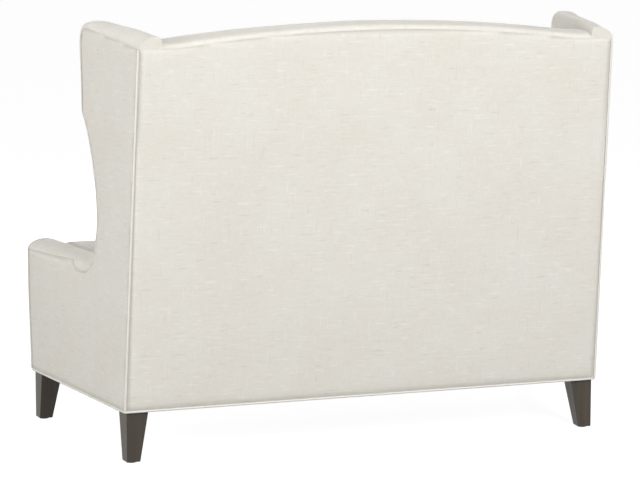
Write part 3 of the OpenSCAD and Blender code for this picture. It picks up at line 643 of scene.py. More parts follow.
class Graph:
    """Adds nodes to a tree and joins them, from left to right"""

    def __init__(self, tree):
        self.tree = tree
        self.column = 0

    def add(self, kind, inputs=(), **settings):
        node = self.tree.nodes.new(kind)
        node.location = (self.column * 180 - 900, -60 * (self.column % 5))
        self.column += 1
        for key, value in settings.items():
            setattr(node, key, value)
        for key, value in dict(inputs).items():
            self.join(value, node.inputs[key])
        return node

    def join(self, value, socket):
        if isinstance(value, bpy.types.NodeSocket):
            self.tree.links.new(value, socket)
        elif isinstance(value, (tuple, list)) and len(value) == 3 and len(socket.default_value) == 4:
            socket.default_value = (*value, 1.0)
        else:
            socket.default_value = value

    def math(self, operation, *values):
        return self.add("ShaderNodeMath", enumerate(values), operation=operation).outputs[0]

    def plus(self, first, second):
        return self.math("ADD", first, second)

    def minus(self, first, second):
        return self.math("SUBTRACT", first, second)

    def times(self, first, second):
        return self.math("MULTIPLY", first, second)

    def noise(self, place, scales=None, shift=None, scale=1.0, detail=2.0, roughness=0.5, distortion=0.0):
        """Noise at a place, which may first be scaled along each axis and then shifted"""
        for operation, amounts in (("MULTIPLY", scales), ("ADD", shift)):
            if amounts:
                moved = self.add("ShaderNodeVectorMath", {0: place, 1: amounts}, operation=operation)
                place = moved.outputs[0]
        inputs = {"Vector": place, "Scale": scale, "Detail": detail, "Roughness": roughness,
                  "Distortion": distortion}
        return self.add("ShaderNodeTexNoise", inputs).outputs["Fac"]

    def ramp(self, value, start, end, low=0.0, high=1.0):
        """Smooth step of a value from start to end"""
        inputs = {"Value": value, "From Min": start, "From Max": end, "To Min": low, "To Max": high}
        return self.add("ShaderNodeMapRange", inputs, interpolation_type="SMOOTHSTEP").outputs["Result"]

    def mix(self, factor, first, second):
        node = self.add("ShaderNodeMix", data_type="RGBA")
        sockets = [s for s in node.inputs if s.enabled]
        for socket, value in zip(sockets, (factor, first, second)):
            self.join(value, socket)
        return [s for s in node.outputs if s.enabled][0]

    def end(self, colour, roughness, height):
        """Joins a group's results to its last node"""
        self.add("NodeGroupOutput", {"Colour": colour, "Roughness": roughness, "Height": height})


def cleared(holder):
    """Graph of a material or world whose nodes have been cleared"""
    holder.use_nodes = True
    holder.node_tree.nodes.clear()
    return Graph(holder.node_tree)


COLOUR = "NodeSocketColor"
VALUE = "NodeSocketFloat"
VECTOR = "NodeSocketVector"


def group_start(name, inputs):
    """New node group with named inputs, and with the three results that every finish takes"""
    tree = bpy.data.node_groups.new(name, "ShaderNodeTree")
    for label, kind, value in inputs:
        socket = tree.interface.new_socket(label, in_out="INPUT", socket_type=kind)
        if value is not None:
            socket.default_value = value
    for label, kind in (("Colour", COLOUR), ("Roughness", VALUE), ("Height", VALUE)):
        tree.interface.new_socket(label, in_out="OUTPUT", socket_type=kind)
    graph = Graph(tree)
    return tree, graph, graph.add("NodeGroupInput").outputs


# Cycles a metre along and across the cloth, and where each noise starts
SLUBS_ALONG = (23, 152, 1)
SLUBS_UPRIGHT = (205, 19, 1)
HEATHER_ALONG = (70, 480, 1)
HEATHER_UPRIGHT = (480, 70, 1)
STREAKS = (9, 60, 1)
SLUBS_START = (5.2, 1.3, 7.7)
HEATHER_START = (2.4, 6.1, 3.3)
HEATHER_UPRIGHT_START = (7.7, 0.4, 5.9)
CLOUDS_START = (3.1, 8.4, 0.6)
THREAD_DRIFT_RATE = 70

# How far threads wander, and how strongly upright slubs and crossings show
THREAD_DRIFT = 0.9
UPRIGHT_SHARE = 0.8
CROSSING_SHARE = 0.45

# Noise levels between which slubs, flecks and clouds show, how strongly each tints the cloth, and how
# strongly shade is painted into the gaps between threads and along the seams
PALE_ALONG = (0.60, 0.76)
PALE_UPRIGHT = (0.64, 0.80)
DARK_ALONG = (0.38, 0.20)
DARK_UPRIGHT = (0.34, 0.18)
PALE_FLECKS = (0.50, 0.68)
DARK_FLECKS = (0.50, 0.32)
CLOUDS = (0.50, 0.85)
STREAK_SHARE = 0.35
PALE_FLECK_SHARE = 0.18
DARK_FLECK_SHARE = 0.22
GAP_SHADE_SHARE = 0.10
SEAM_SHADE_SHARE = 0.45

# Height of a slub in threads, and the cloth's roughness between threads and how much less it is on them
SLUB_HEIGHT_SHARE = 0.8
THREAD_ROUGHNESS = 0.93
THREAD_SHINE = 0.08

# Cycles a metre of the timber's bands, fine grain and pores
BANDS = (46, 46, 2.2)
FINE_GRAIN = (420, 420, 9)
PORES = (1300, 1300, 40)


def weave_group():
    """Plain weave of uneven threads, with slubs both ways, a soft mottle, and shade painted into the gaps
    between threads and along the seams
    """
    tree, g, given = group_start("Slub weave", [
        ("Place", VECTOR, None),
        ("Ground", COLOUR, (0.8, 0.78, 0.74, 1)),
        ("Pale slub", COLOUR, (0.9, 0.88, 0.84, 1)),
        ("Dark slub", COLOUR, (0.6, 0.58, 0.54, 1)),
        ("Warm drift", COLOUR, (0.8, 0.76, 0.7, 1)),
        ("Thread", VALUE, 0.0011),
        ("Slubs", VALUE, 0.5),
        ("Mottle", VALUE, 0.5),
        # Closeness to a seam, and the colour of the shade painted along it
        ("Seam", VALUE, 0.0),
        ("Seam shade", COLOUR, (0.45, 0.42, 0.36, 1)),
    ])
    place, slubs = given["Place"], given["Slubs"]
    drift = g.times(g.minus(g.noise(place, scale=THREAD_DRIFT_RATE, detail=1.0), 0.5), THREAD_DRIFT)
    parts = g.add("ShaderNodeSeparateXYZ", {0: place})
    u, v = (g.plus(g.math("DIVIDE", parts.outputs[k], given["Thread"]), drift) for k in (0, 1))
    round_u, round_v = (g.math("POWER", g.math("SINE", g.times(w, math.pi)), 2.0) for w in (u, v))
    over = g.math("PINGPONG", g.plus(g.math("FLOOR", u), g.math("FLOOR", v)), 1.0)
    warp = g.times(round_u, g.math("MULTIPLY_ADD", round_v, CROSSING_SHARE, 1 - CROSSING_SHARE))
    weft = g.times(round_v, g.math("MULTIPLY_ADD", round_u, CROSSING_SHARE, 1 - CROSSING_SHARE))
    thread_height = g.plus(g.times(over, weft), g.times(g.minus(1.0, over), warp))
    along = g.noise(place, SLUBS_ALONG, detail=1.0, roughness=0.4)
    upright = g.noise(place, SLUBS_UPRIGHT, SLUBS_START, detail=1.0, roughness=0.4)
    pale, dark = (g.math("MAXIMUM", g.ramp(along, *first), g.times(g.ramp(upright, *second), UPRIGHT_SHARE))
                  for first, second in ((PALE_ALONG, PALE_UPRIGHT), (DARK_ALONG, DARK_UPRIGHT)))
    heather = g.noise(place, HEATHER_ALONG, HEATHER_START, roughness=0.6)
    cross_heather = g.noise(place, HEATHER_UPRIGHT, HEATHER_UPRIGHT_START, roughness=0.6)
    flecks = g.times(g.plus(heather, cross_heather), 0.5)
    cloudy = g.noise(place, shift=CLOUDS_START, scale=5.0, detail=3.0, roughness=0.6)
    streaky = g.noise(place, STREAKS)
    mottle = g.times(g.ramp(g.plus(cloudy, g.times(streaky, STREAK_SHARE)), *CLOUDS), given["Mottle"])
    colour = g.mix(mottle, given["Ground"], given["Warm drift"])
    # The last two are painted shade: in the gaps between threads and along the seams
    for amount, tint in (
            (g.times(g.ramp(flecks, *DARK_FLECKS), DARK_FLECK_SHARE), "Dark slub"),
            (g.times(g.ramp(flecks, *PALE_FLECKS), PALE_FLECK_SHARE), "Pale slub"),
            (g.times(dark, slubs), "Dark slub"),
            (g.times(pale, slubs), "Pale slub"),
            (g.times(g.minus(1.0, thread_height), GAP_SHADE_SHARE), "Dark slub"),
            (g.times(given["Seam"], SEAM_SHADE_SHARE), "Seam shade")):
        colour = g.mix(amount, colour, given[tint])
    g.end(colour, g.math("MULTIPLY_ADD", thread_height, -THREAD_SHINE, THREAD_ROUGHNESS),
          g.plus(thread_height, g.times(g.minus(pale, dark), SLUB_HEIGHT_SHARE)))
    return tree


def grain_group():
    """Straight timber grain along Z, with pores and slow bands"""
    tree, g, given = group_start("Timber grain", [
        ("Place", VECTOR, None),
        ("Light", COLOUR, (0.6, 0.45, 0.3, 1)),
        ("Dark", COLOUR, (0.4, 0.28, 0.17, 1)),
        ("Shine", VALUE, 0.5),
    ])
    bands = g.noise(given["Place"], BANDS, detail=3.0, roughness=0.6, distortion=0.6)
    fine = g.noise(given["Place"], FINE_GRAIN, roughness=0.55)
    pores = g.ramp(g.noise(given["Place"], PORES, detail=1.0), 0.62, 0.74)
    shade = g.plus(g.times(g.ramp(bands, 0.3, 0.7), 0.6), g.times(fine, 0.55))
    colour = g.mix(g.ramp(shade, 0.25, 0.95), given["Dark"], given["Light"])
    colour = g.mix(g.times(pores, 0.5), colour, given["Dark"])
    rough = g.plus(given["Shine"], g.times(pores, 0.12))
    g.end(colour, g.plus(rough, g.times(fine, 0.08)), g.minus(g.times(fine, 0.5), pores))
    return tree


def speckle_group():
    """Fine two-scale speckle for board, metal and plastic"""
    tree, g, given = group_start("Speckle", [
        ("Place", VECTOR, None),
        ("Light", COLOUR, (0.5, 0.5, 0.5, 1)),
        ("Dark", COLOUR, (0.4, 0.4, 0.4, 1)),
        ("Size", VALUE, 0.002),
        ("Base roughness", VALUE, 0.5),
    ])
    rate = g.math("DIVIDE", 1.0, given["Size"])
    fine = g.noise(given["Place"], scale=rate, detail=4.0, roughness=0.6)
    broad = g.noise(given["Place"], scale=g.times(rate, 0.04))
    shade = g.math("MULTIPLY_ADD", broad, 0.5, g.times(fine, 0.6))
    colour = g.mix(g.ramp(shade, 0.35, 0.75), given["Dark"], given["Light"])
    g.end(colour, g.plus(given["Base roughness"], g.times(g.minus(fine, 0.5), 0.2)), fine)
    return tree


GROUP_MAKERS = {"Slub weave": weave_group, "Timber grain": grain_group, "Speckle": speckle_group}


def finish_of(name, group, inputs, bump, distance, from_cloth=False, turn=(0, 0, 0), **shader):
    """Material whose colour, roughness and bump come from one of the groups"""
    material = bpy.data.materials.get(name)
    if material:
        return material
    material = bpy.data.materials.new(name)
    g = cleared(material)
    if from_cloth:
        place = g.add("ShaderNodeUVMap", uv_map="Weave").outputs[0]
        # Closeness to a seam, along which the group paints shade
        inputs = {**inputs, "Seam": g.add("ShaderNodeAttribute", attribute_name="Seam").outputs["Fac"]}
    else:
        place = g.add("ShaderNodeTexCoord").outputs["Object"]
    mapping = g.add("ShaderNodeMapping", {"Vector": place, "Rotation": turn})
    pattern = g.add("ShaderNodeGroup", node_tree=bpy.data.node_groups.get(group) or GROUP_MAKERS[group]())
    for key, value in {"Place": mapping.outputs[0], **inputs}.items():
        g.join(value, pattern.inputs[key])
    relief = g.add("ShaderNodeBump", {"Strength": bump, "Distance": distance,
                                      "Height": pattern.outputs["Height"]})
    surface = g.add("ShaderNodeBsdfPrincipled", {"Base Color": pattern.outputs["Colour"],
                                                 "Roughness": pattern.outputs["Roughness"],
                                                 "Normal": relief.outputs[0]})
    for key, value in shader.items():
        g.join(value, surface.inputs[key.replace("_", " ")])
    g.add("ShaderNodeOutputMaterial", {"Surface": surface.outputs[0]})
    material.diffuse_color = (*inputs.get("Ground", inputs.get("Light"))[:3], 1)
    return material


def tone(red, green, blue):
    """Colour of a screen value from 0 to 255, as Blender's own linear colour"""
    shares = (c / 255 for c in (red, green, blue))
    return tuple(c / 12.92 if c <= 0.04045 else ((c + 0.055) / 1.055) ** 2.4 for c in shares)


def shaded(colour, share):
    """The colour made darker or lighter by a share"""
    return tuple(min(1, c * share) for c in colour)


def cloth(name, colours, thread, slubs, mottle, bump, distance, turn=(0, 0, 0), **shader):
    """Woven finish from its ground, pale, dark and warm colours, the colour of the shade painted along its
    seams if given, its thread and how plainly it varies
    """
    inputs = dict(zip(("Ground", "Pale slub", "Dark slub", "Warm drift", "Seam shade"), map(tuple, colours)))
    inputs.update({"Thread": thread, "Slubs": slubs, "Mottle": mottle})
    return finish_of(name, "Slub weave", inputs, bump, distance, True, turn, Specular_IOR_Level=0.2, **shader)


def cover_cloth():
    s = bpy.context.scene.settee_cloth
    # The fifth colour is the shade painted along the seams
    colours = (s.ground, s.pale_slub, s.dark_slub, s.warm_drift, shaded(s.dark_slub, 0.62))
    return cloth("Cover linen", colours, s.thread, s.slubs, s.mottle, bump=0.5, distance=0.0004,
                 Sheen_Weight=0.15, Sheen_Roughness=0.6)


def welt_cloth():
    s = bpy.context.scene.settee_cloth
    colours = (s.ground, s.pale_slub, s.dark_slub, s.warm_drift)
    return cloth("Welt linen", colours, s.thread, s.slubs * 0.5, mottle=0.2, bump=0.5, distance=0.0003,
                 turn=(0, 0, math.radians(45)), Sheen_Weight=0.15, Sheen_Roughness=0.6)


def lining_cloth():
    s = bpy.context.scene.settee_cloth
    colours = [shaded(s.lining, share) for share in (1, 1.3, 0.6, 0.9)]
    return cloth("Lining cotton", colours, thread=0.0007, slubs=0.2, mottle=0.3, bump=0.4, distance=0.0002)


def deck_cloth():
    s = bpy.context.scene.settee_cloth
    colours = [shaded(s.deck, share) for share in (1, 1.15, 0.75, 0.93)]
    return cloth("Deck cotton", colours, thread=0.0008, slubs=0.25, mottle=0.3, bump=0.4, distance=0.0002)


def web_cloth():
    colours = (tone(176, 148, 104), tone(204, 180, 138), tone(120, 96, 62), tone(160, 128, 84))
    return cloth("Jute webbing", colours, thread=0.0016, slubs=0.5, mottle=0.5, bump=0.7, distance=0.0006)


# The cloth and the sizes that a user would change


def colour_setting(name, description, red, green, blue):
    """Colour of a finish, given as a screen value"""
    return bpy.props.FloatVectorProperty(name=name, description=description, subtype="COLOR", size=3,
                                         min=0, max=1, default=tone(red, green, blue))


def length_setting(name, description, low, high, value):
    """Length in metres"""
    return bpy.props.FloatProperty(name=name, description=description, unit="LENGTH", min=low, max=high,
                                   default=value)


def share_setting(name, description, value):
    """Share from 0 to 1"""
    return bpy.props.FloatProperty(name=name, description=description, subtype="FACTOR", min=0, max=1,
                                   default=value)


def power_setting(name, description, value):
    """Power of a lamp"""
    return bpy.props.FloatProperty(name=name, description=description, unit="POWER", min=0, max=2000,
                                   default=value)


class SetteeClothSettings(bpy.types.PropertyGroup):
    """Cover and lining cloth"""
    ground: colour_setting("Ground", "Main colour of the cover's linen", 232, 229, 221)
    pale_slub: colour_setting("Pale slub", "Colour of the pale thick threads", 247, 245, 240)
    dark_slub: colour_setting("Dark slub", "Colour of the dark thick threads", 208, 202, 191)
    warm_drift: colour_setting("Warm drift", "Warmer tone of the mottled patches", 229, 223, 212)
    lining: colour_setting("Lining", "Colour of the dust cover underneath", 96, 92, 86)
    deck: colour_setting("Deck", "Colour of the plain cloth under the cushion", 199, 192, 178)
    thread: length_setting("Thread", "Width of one thread with its gap", 0.0004, 0.003, 0.0011)
    slubs: share_setting("Slubs", "How plainly the thick threads show", 0.42)
    mottle: share_setting("Mottle", "How plainly the cloth's tone drifts", 0.6)


class SetteePaddingSettings(bpy.types.PropertyGroup):
    """Fullness of the covers and of the cushion"""
    seam_sink: length_setting("Seam depth", "How deep a cover sinks at its seam", 0, 0.006, 0.0013)
    seam_width: length_setting("Seam width", "Width over which a cover rolls to its seam", 0.004, 0.03, 0.005)
    pillow: length_setting("Pillow", "How far a flat cover stands out in its middle", 0, 0.006, 0.002)
    unevenness: length_setting("Unevenness", "Slow waver of the padded covers", 0, 0.004, 0.0012)
    cushion_rise: length_setting("Cushion rise", "Most that the cushion's top may swell", 0, 0.04, 0.019)
    cushion_voxel: length_setting("Cushion mesh", "Grid of the cushion before it swells", 0.006, 0.03, 0.011)


class SetteeTimberSettings(bpy.types.PropertyGroup):
    """Stained legs and raw frame"""
    leg_light: colour_setting("Leg, light", "Lighter tone of the stained legs", 63, 54, 43)
    leg_dark: colour_setting("Leg, dark", "Darker tone of the stained legs", 50, 42, 33)
    frame_light: colour_setting("Frame, light", "Lighter tone of the frame's wood", 214, 184, 140)
    frame_dark: colour_setting("Frame, dark", "Darker tone of the frame's wood", 176, 138, 92)


class SetteeStageSettings(bpy.types.PropertyGroup):
    """Floor, lamps and camera"""
    floor: bpy.props.FloatVectorProperty(name="Floor", description="Colour of the floor", subtype="COLOR",
                                         size=3, min=0, max=1, default=FLOOR_COLOUR)
    key: power_setting("Key lamp", "Power of the large lamp over the camera", 304)
    side: power_setting("Side lamp", "Power of the lamp on the left of the picture", 126)
    front: power_setting("Front lamp", "Power of the lamp before the seat", 262)
    sky: bpy.props.FloatProperty(name="Sky", description="Light from all round", min=0, max=2, default=0.36)
    overhead: share_setting("Overhead", "Share of the sky's light straight above", 0.6)
    lens: bpy.props.FloatProperty(name="Lens", description="Focal length on a 36 mm frame",
                                  unit="CAMERA", min=20, max=300, default=144.04)


PIECES = []


def listed(cls):
    """Keeps an operator for the panel, for registering and for main"""
    PIECES.append(cls)
    return cls


# Outside covers


def uneven(points, cover, side=0):
    """Slow and quick waver of a cover, in metres"""
    seed, share = WAVERS[cover]
    seed += side
    amount = bpy.context.scene.settee_padding.unevenness * share
    return amount * (waver(points, SLOW_WAVER, seed) + QUICK_SHARE * waver(points, QUICK_WAVER, seed + 5))


def pulls(points, at, way):
    """Pull lines that fan out of a corner"""
    offset = points - np.array(at)
    way = np.array(way) / np.linalg.norm(way)
    along = offset @ way
    across = offset @ np.array([-way[1], way[0]])
    fan = across / np.maximum(PULL_FAN_SHARE, PULL_FAN_SHARE + along / PULL_LENGTH)
    fade = np.clip(1 - along / PULL_LENGTH, 0, 1) * grown(along, PULL_START)
    fade = fade * np.exp(-(across / (3 * PULL_PITCH)) ** 2)
    return PULL_HEIGHT * np.cos(fan / PULL_PITCH * 2 * math.pi) * fade


def covered(piece, *nodes):
    """Finishes a piece of the body in the cover's cloth"""
    finish_piece(piece, "settee", cover_cloth(), nodes)


@listed
class SETTEE_OT_outside_back(bpy.types.Operator):
    """Makes the taut outside back, arched along its top"""
    bl_idname = "settee.outside_back"
    bl_label = "Outside back"

    def execute(self, context):
        s = context.scene.settee_padding
        edge = WELT_IN + WELT_R
        top = BACK_L - CREST_GAP
        half = REAR_W / 2 - edge / math.cos(FLARE)
        corner_x = half - top * math.sin(BACK_LEAN) * math.tan(FLARE)
        xs = np.linspace(-CREST_HALF_SPAN, CREST_HALF_SPAN, 49)
        crest = np.column_stack([xs, top + arch(xs)])[::-1]
        outline = np.vstack([[(-half, edge), (half, edge), (corner_x, top)], crest, [(-corner_x, top)]])

        def place(x, rise, from_edge):
            flat = np.column_stack([x, rise])
            pillow = s.pillow * grown(from_edge, BACK_PILLOW_REACH, PILLOW_POWER)
            wrinkle = uneven(flat, "outside_back") * grown(from_edge, WAVER_REACH)
            for side in (-1, 1):
                wrinkle += pulls(flat, (side * (half - 0.01), 0.012), (-side, PULL_RISE))
            depth = rolled(from_edge, 2 * s.seam_sink, s.seam_width) - pillow - wrinkle
            return on_back(x, depth, rise)

        piece = panel("outside_back", outline, (*EDGE_ROWS, 0.005), PANEL_PITCH, place)
        thicken(piece, COVER_T - SHEET_GAP, (0, 1, 0))
        covered(piece, "outside_back_cover")
        return {"FINISHED"}


def arm_seam_points():
    """Seam of a side's cover along the arm, from the front to the rear end of the tongue"""
    straight = np.linspace(front_s(0, SKIN), TONGUE_S + TONGUE_HALF, 14)
    tongue = TONGUE_S + TONGUE_HALF * np.cos(np.linspace(0, math.pi, 23))[1:]
    s = np.concatenate([straight, tongue])
    return np.column_stack([s, arm_seam(s)])


@listed
class SETTEE_OT_outside_sides(bpy.types.Operator):
    """Makes the outside cover of each side, from the arm up into the wing, with its notch for the tongue"""
    bl_idname = "settee.outside_sides"
    bl_label = "Outside sides"

    def execute(self, context):
        s = context.scene.settee_padding
        edge = WELT_IN + WELT_R
        wing = respaced(wing_edge(), WING_CUT_PITCH)
        wing = wing[(wing[:, 0] > rear_s(0, BACK_RISE, edge) + OUTLINE_GAP)
                    & (wing[:, 1] > TONGUE_END[1] + OUTLINE_GAP)]
        last = wing_top(rear_s(0, BACK_RISE, edge))
        outline = np.vstack([[(rear_s(0, edge, edge), edge), (front_s(0, SKIN), edge)],
                             arm_seam_points(), wing, [(rear_s(0, last, edge), last)]])
        for side, word in SIDES:

            def place(along, up, from_edge):
                flat = np.column_stack([along, up])
                pillow = s.pillow * grown(from_edge, SIDE_PILLOW_REACH, PILLOW_POWER)
                wrinkle = uneven(flat, "outside_side", side) * grown(from_edge, WAVER_REACH)
                over_arm = arm_round(up) * eased(along, *OVER_ARM_RUN)
                over_arm += rolled(np.maximum(along - rear_s(0, up, edge), 0), s.seam_sink, s.seam_width)
                depth = rolled(from_edge, s.seam_sink, s.seam_width) - pillow - wrinkle + over_arm
                return on_side(side, depth - arm_fullness(along, up), along, up)

            piece = panel(f"outside_side_{word}", outline, EDGE_ROWS, PANEL_PITCH, place)
            thicken(piece, COVER_T - SHEET_GAP, (side, 0, 0))
            covered(piece, f"{word}_outside_cover")
        return {"FINISHED"}


# Wings, arms and back


@listed
class SETTEE_OT_wings(bpy.types.Operator):
    """Makes the padded wings, each wrapped over its board with a crowned edge and a boxed rear end"""
    bl_idname = "settee.wings"
    bl_label = "Wings"

    def execute(self, context):
        line = respaced(wing_edge(), WING_PITCH)
        out = outward(line)
        hubs = self.hubs(line)
        run = run_lengths(line, 0)
        crown_shares = (1 - np.cos(np.linspace(0, math.pi, 23))) / 2
        shown = len(crown_shares)
        rings = np.array([self.ring(line[i], out[i], hubs[i], run[-1] - run[i], crown_shares)
                          for i in range(len(line))])
        for side, word in SIDES:
            n, along, up = rings[..., 0], rings[..., 1], rings[..., 2]
            up = np.maximum(up, arm_top(n) - WING_INTO_ARM)
            along = np.maximum(along, rear_s(n, up) + THIN_GAP)
            along[-1] = rear_s(n[-1], up[-1]) + THIN_GAP
            waves = uneven(np.stack([along, up, n], -1), "wing", side)
            waves[:, :3] = 0
            waves[:, shown + 6:] = 0
            waves[-2:] = 0
            bulge = np.zeros_like(rings)
            bulge[:, :shown, 1:] = out[:, None, :] * waves[:, :shown, None]
            bulge[:, shown:, 0] = waves[:, shown:]
            points = on_side(side, n + bulge[..., 0], along + bulge[..., 1], up + bulge[..., 2])
            piece = sleeve(f"wing_{word}", points)
            covered(piece, f"{word}_wing_cover", f"{word}_wing_foam")
        return {"FINISHED"}

    def ring(self, at, out, hub, to_end, crown_shares):
        """Points round the wing at one place of its edge: over the crown, down the inner face and back"""
        crown = EDGE_CROWN + (BOXED_CROWN - EDGE_CROWN) * float(eased(to_end, *BOXED_RUN))
        lean_in = float(eased(to_end, *LEAN_IN_RUN))
        lean_out = float(eased(to_end, *LEAN_OUT_START) * eased(to_end, *LEAN_OUT_END))
        least = COVER_T if at[1] < TONGUE_END[1] + OUTLINE_GAP else THIN_GAP
        points = []
        for share in map(float, crown_shares):
            crest = float(cap(share)) * (1 - lean_in - lean_out) + leaning_cap(share) * lean_in
            crest += leaning_cap(1 - share) * lean_out
            sink = float(rolled(share * WING_T, *WING_ROLL)) if share < 0.5 else 0
            points.append((max(share * WING_T, least), *(at + out * (crown * crest - sink))))
        for share in np.linspace(0, 1, 10)[1:]:
            swell = math.sin(math.pi * min(1, share * WING_SWELL_RATE)) if share < WING_SWELL_SHARE else 0
            points.append((WING_T + WING_SWELL * swell, *(at + (hub - at) * share)))
        start = at - out * EDGE_PAD
        for share in WING_INSIDE_SHARES:
            points.append((FRAME_IN + FACE_GAP, *(start + (hub - start) * share)))
        points.append((SKIN + SEAM_GAP, *(at - out * (EDGE_PAD - FACE_GAP))))
        points.append((COVER_T, *(at - out * TURN_IN)))
        return points

    def hubs(self, line):
        """Points behind the inside back's face that the wing's inner face runs to, one for each edge point"""
        made = []
        for s_edge, z_edge in line:
            z = float(np.clip(z_edge, ARM_SEAM - HUB_BELOW_SEAM, BACK_RISE - HUB_BELOW_TOP))
            behind_face = rear_s(WING_T, z, inside_face_depth(z) - HUB_IN)
            made.append((min(behind_face, s_edge - HUB_BEHIND_EDGE), z))
        smooth = np.array(made)
        for _ in range(6):
            smooth[1:-1] = (smooth[:-2] + 2 * smooth[1:-1] + smooth[2:]) / 4
        return smooth


def back_thickness(share):
    """Thickness of the back at a share of the way down its inside face"""
    return CREST_T + share * (BACK_T_AT_SEAT - CREST_T) + BACK_SWELL * np.sin(math.pi * share ** 2)


def inside_face_depth(z):
    """Depth of the inside back's face in front of the rear face, at a height above the underside"""
    return back_thickness(np.clip((BACK_RISE - z) / (BACK_RISE - DECK_TOP), 0, 1))


@listed
class SETTEE_OT_arms(bpy.types.Operator):
    """Makes the padded arms with their rounded caps and tongues, and the panels on their fronts"""
    bl_idname = "settee.arms"
    bl_label = "Arms"

    def execute(self, context):
        front = front_s(0, SKIN)
        rest = np.arange(front - ARM_ROWS_START, ARM_ROWS_END, -ARM_ROWS_PITCH)
        stations = np.concatenate([front - np.array(ARM_FRONT_ROWS), rest])
        rings = np.array([self.ring(place, front - place) for place in stations])
        cap_points, inner_points = slice(8, 40), slice(40, 48)
        for side, word in SIDES:
            n, along, up = rings[..., 0], rings[..., 1], rings[..., 2]
            along = along - n * math.tan(FLARE) * grown(along - front + ARM_SKEW_RUN, ARM_SKEW_RUN)
            waves = uneven(np.stack([along, up, n], -1), "arm", side) * grown(front - along, WAVER_REACH)
            bulge = np.zeros_like(rings)
            bulge[:, cap_points, 2] = waves[:, cap_points]
            bulge[:, inner_points, 0] = waves[:, inner_points] * ARM_FACE_WAVER_SHARE
            piece = sleeve(f"arm_{word}", on_side(side, n + bulge[..., 0], along, up + bulge[..., 2]))
            covered(piece, f"{word}_arm_cover", f"{word}_arm_foam")
            self.front_panel(side, word)
        return {"FINISHED"}

    def ring(self, place, behind):
        """Points round the arm at one place along it, drawn in where it meets the panel on its front"""
        s = bpy.context.scene.settee_padding
        draw = float(rolled(behind, s.seam_sink, s.seam_width))
        turn = np.linspace(0, math.pi, 181)
        outer = np.column_stack([ARM_W / 2 * (1 - np.cos(turn)), ARM_SEAM + ARM_CAP_H * np.sin(turn)])
        seam = float(arm_seam(place)) + SEAM_GAP
        start = (float(arm_round(seam)), seam)
        path = np.vstack([[start], outer[(outer[:, 1] > seam) | (outer[:, 0] > ARM_W / 2)]])
        run = run_lengths(path, 0)
        at = np.concatenate([ARM_SEAM_ROWS, np.linspace(ARM_CAP_START, run[-1], ARM_CAP_COUNT)])
        over = np.stack([np.interp(at, run, path[:, 0]), np.interp(at, run, path[:, 1])], 1)
        fullness = arm_fullness(place, over[:, 1]) * full_share(over[:, 0])
        over[:, 0] += rolled(at, *ARM_ROLL) - fullness
        points = []
        for n, z in over:
            centre_n = (n - ARM_W / 2) * (1 - draw / (ARM_W / 2)) + ARM_W / 2
            points.append((centre_n, place, z - draw * math.sin(math.pi * np.clip(n / ARM_W, 0, 1))))
        for share in ARM_FACE_SHARES:
            points.append((ARM_W - draw, place, ARM_SEAM + (RAIL_TOP - ARM_SEAM) * share))
        base = ARM_SEAM + FACE_GAP
        inner = SKIN + ARM_RAIL_W + FACE_GAP
        points += [(inner, place, RAIL_TOP), (inner, place, ARM_SEAM - ARM_TUCK), (inner, place, base),
                   (SKIN + FACE_GAP, place, base)]
        for share in (0, 0.5, 1):
            z = base + (seam - base) * share
            points.append((float(arm_round(z)) + COVER_T - arm_fullness(place, z), place, z))
        return points

    def front_panel(self, side, word):
        """Makes the panel on the front of one arm"""
        s = bpy.context.scene.settee_padding
        turn = np.radians(np.linspace(180, 0, 31))
        rounded = np.column_stack([ARM_W / 2 * (1 - np.cos(turn)), ARM_SEAM + ARM_CAP_H * np.sin(turn)])
        edge = WELT_IN + WELT_R
        outline = np.vstack([[(FACE_GAP, edge), (ARM_W, edge)], rounded])
        outline[-1, 0] = FACE_GAP

        def place(n, up, from_edge):
            swell = PANEL_SWELL * grown(from_edge, ARM_FRONT_REACH, ARM_FRONT_POWER)
            depth = rolled(from_edge, s.seam_sink, ARM_FRONT_ROLL_W) - swell
            depth = depth - uneven(np.column_stack([n, up]), "arm_front", side)
            n = n - arm_fullness(front_s(0, 0), up) * full_share(n)
            return on_body(side * side_x(n, 0.0), depth, up)

        piece = panel(f"arm_front_{word}", outline, EDGE_ROWS, ARM_FRONT_PITCH, place)
        thicken(piece, SKIN - SHEET_GAP, (0, -1, 0))
        covered(piece, f"{word}_arm_front_panel")


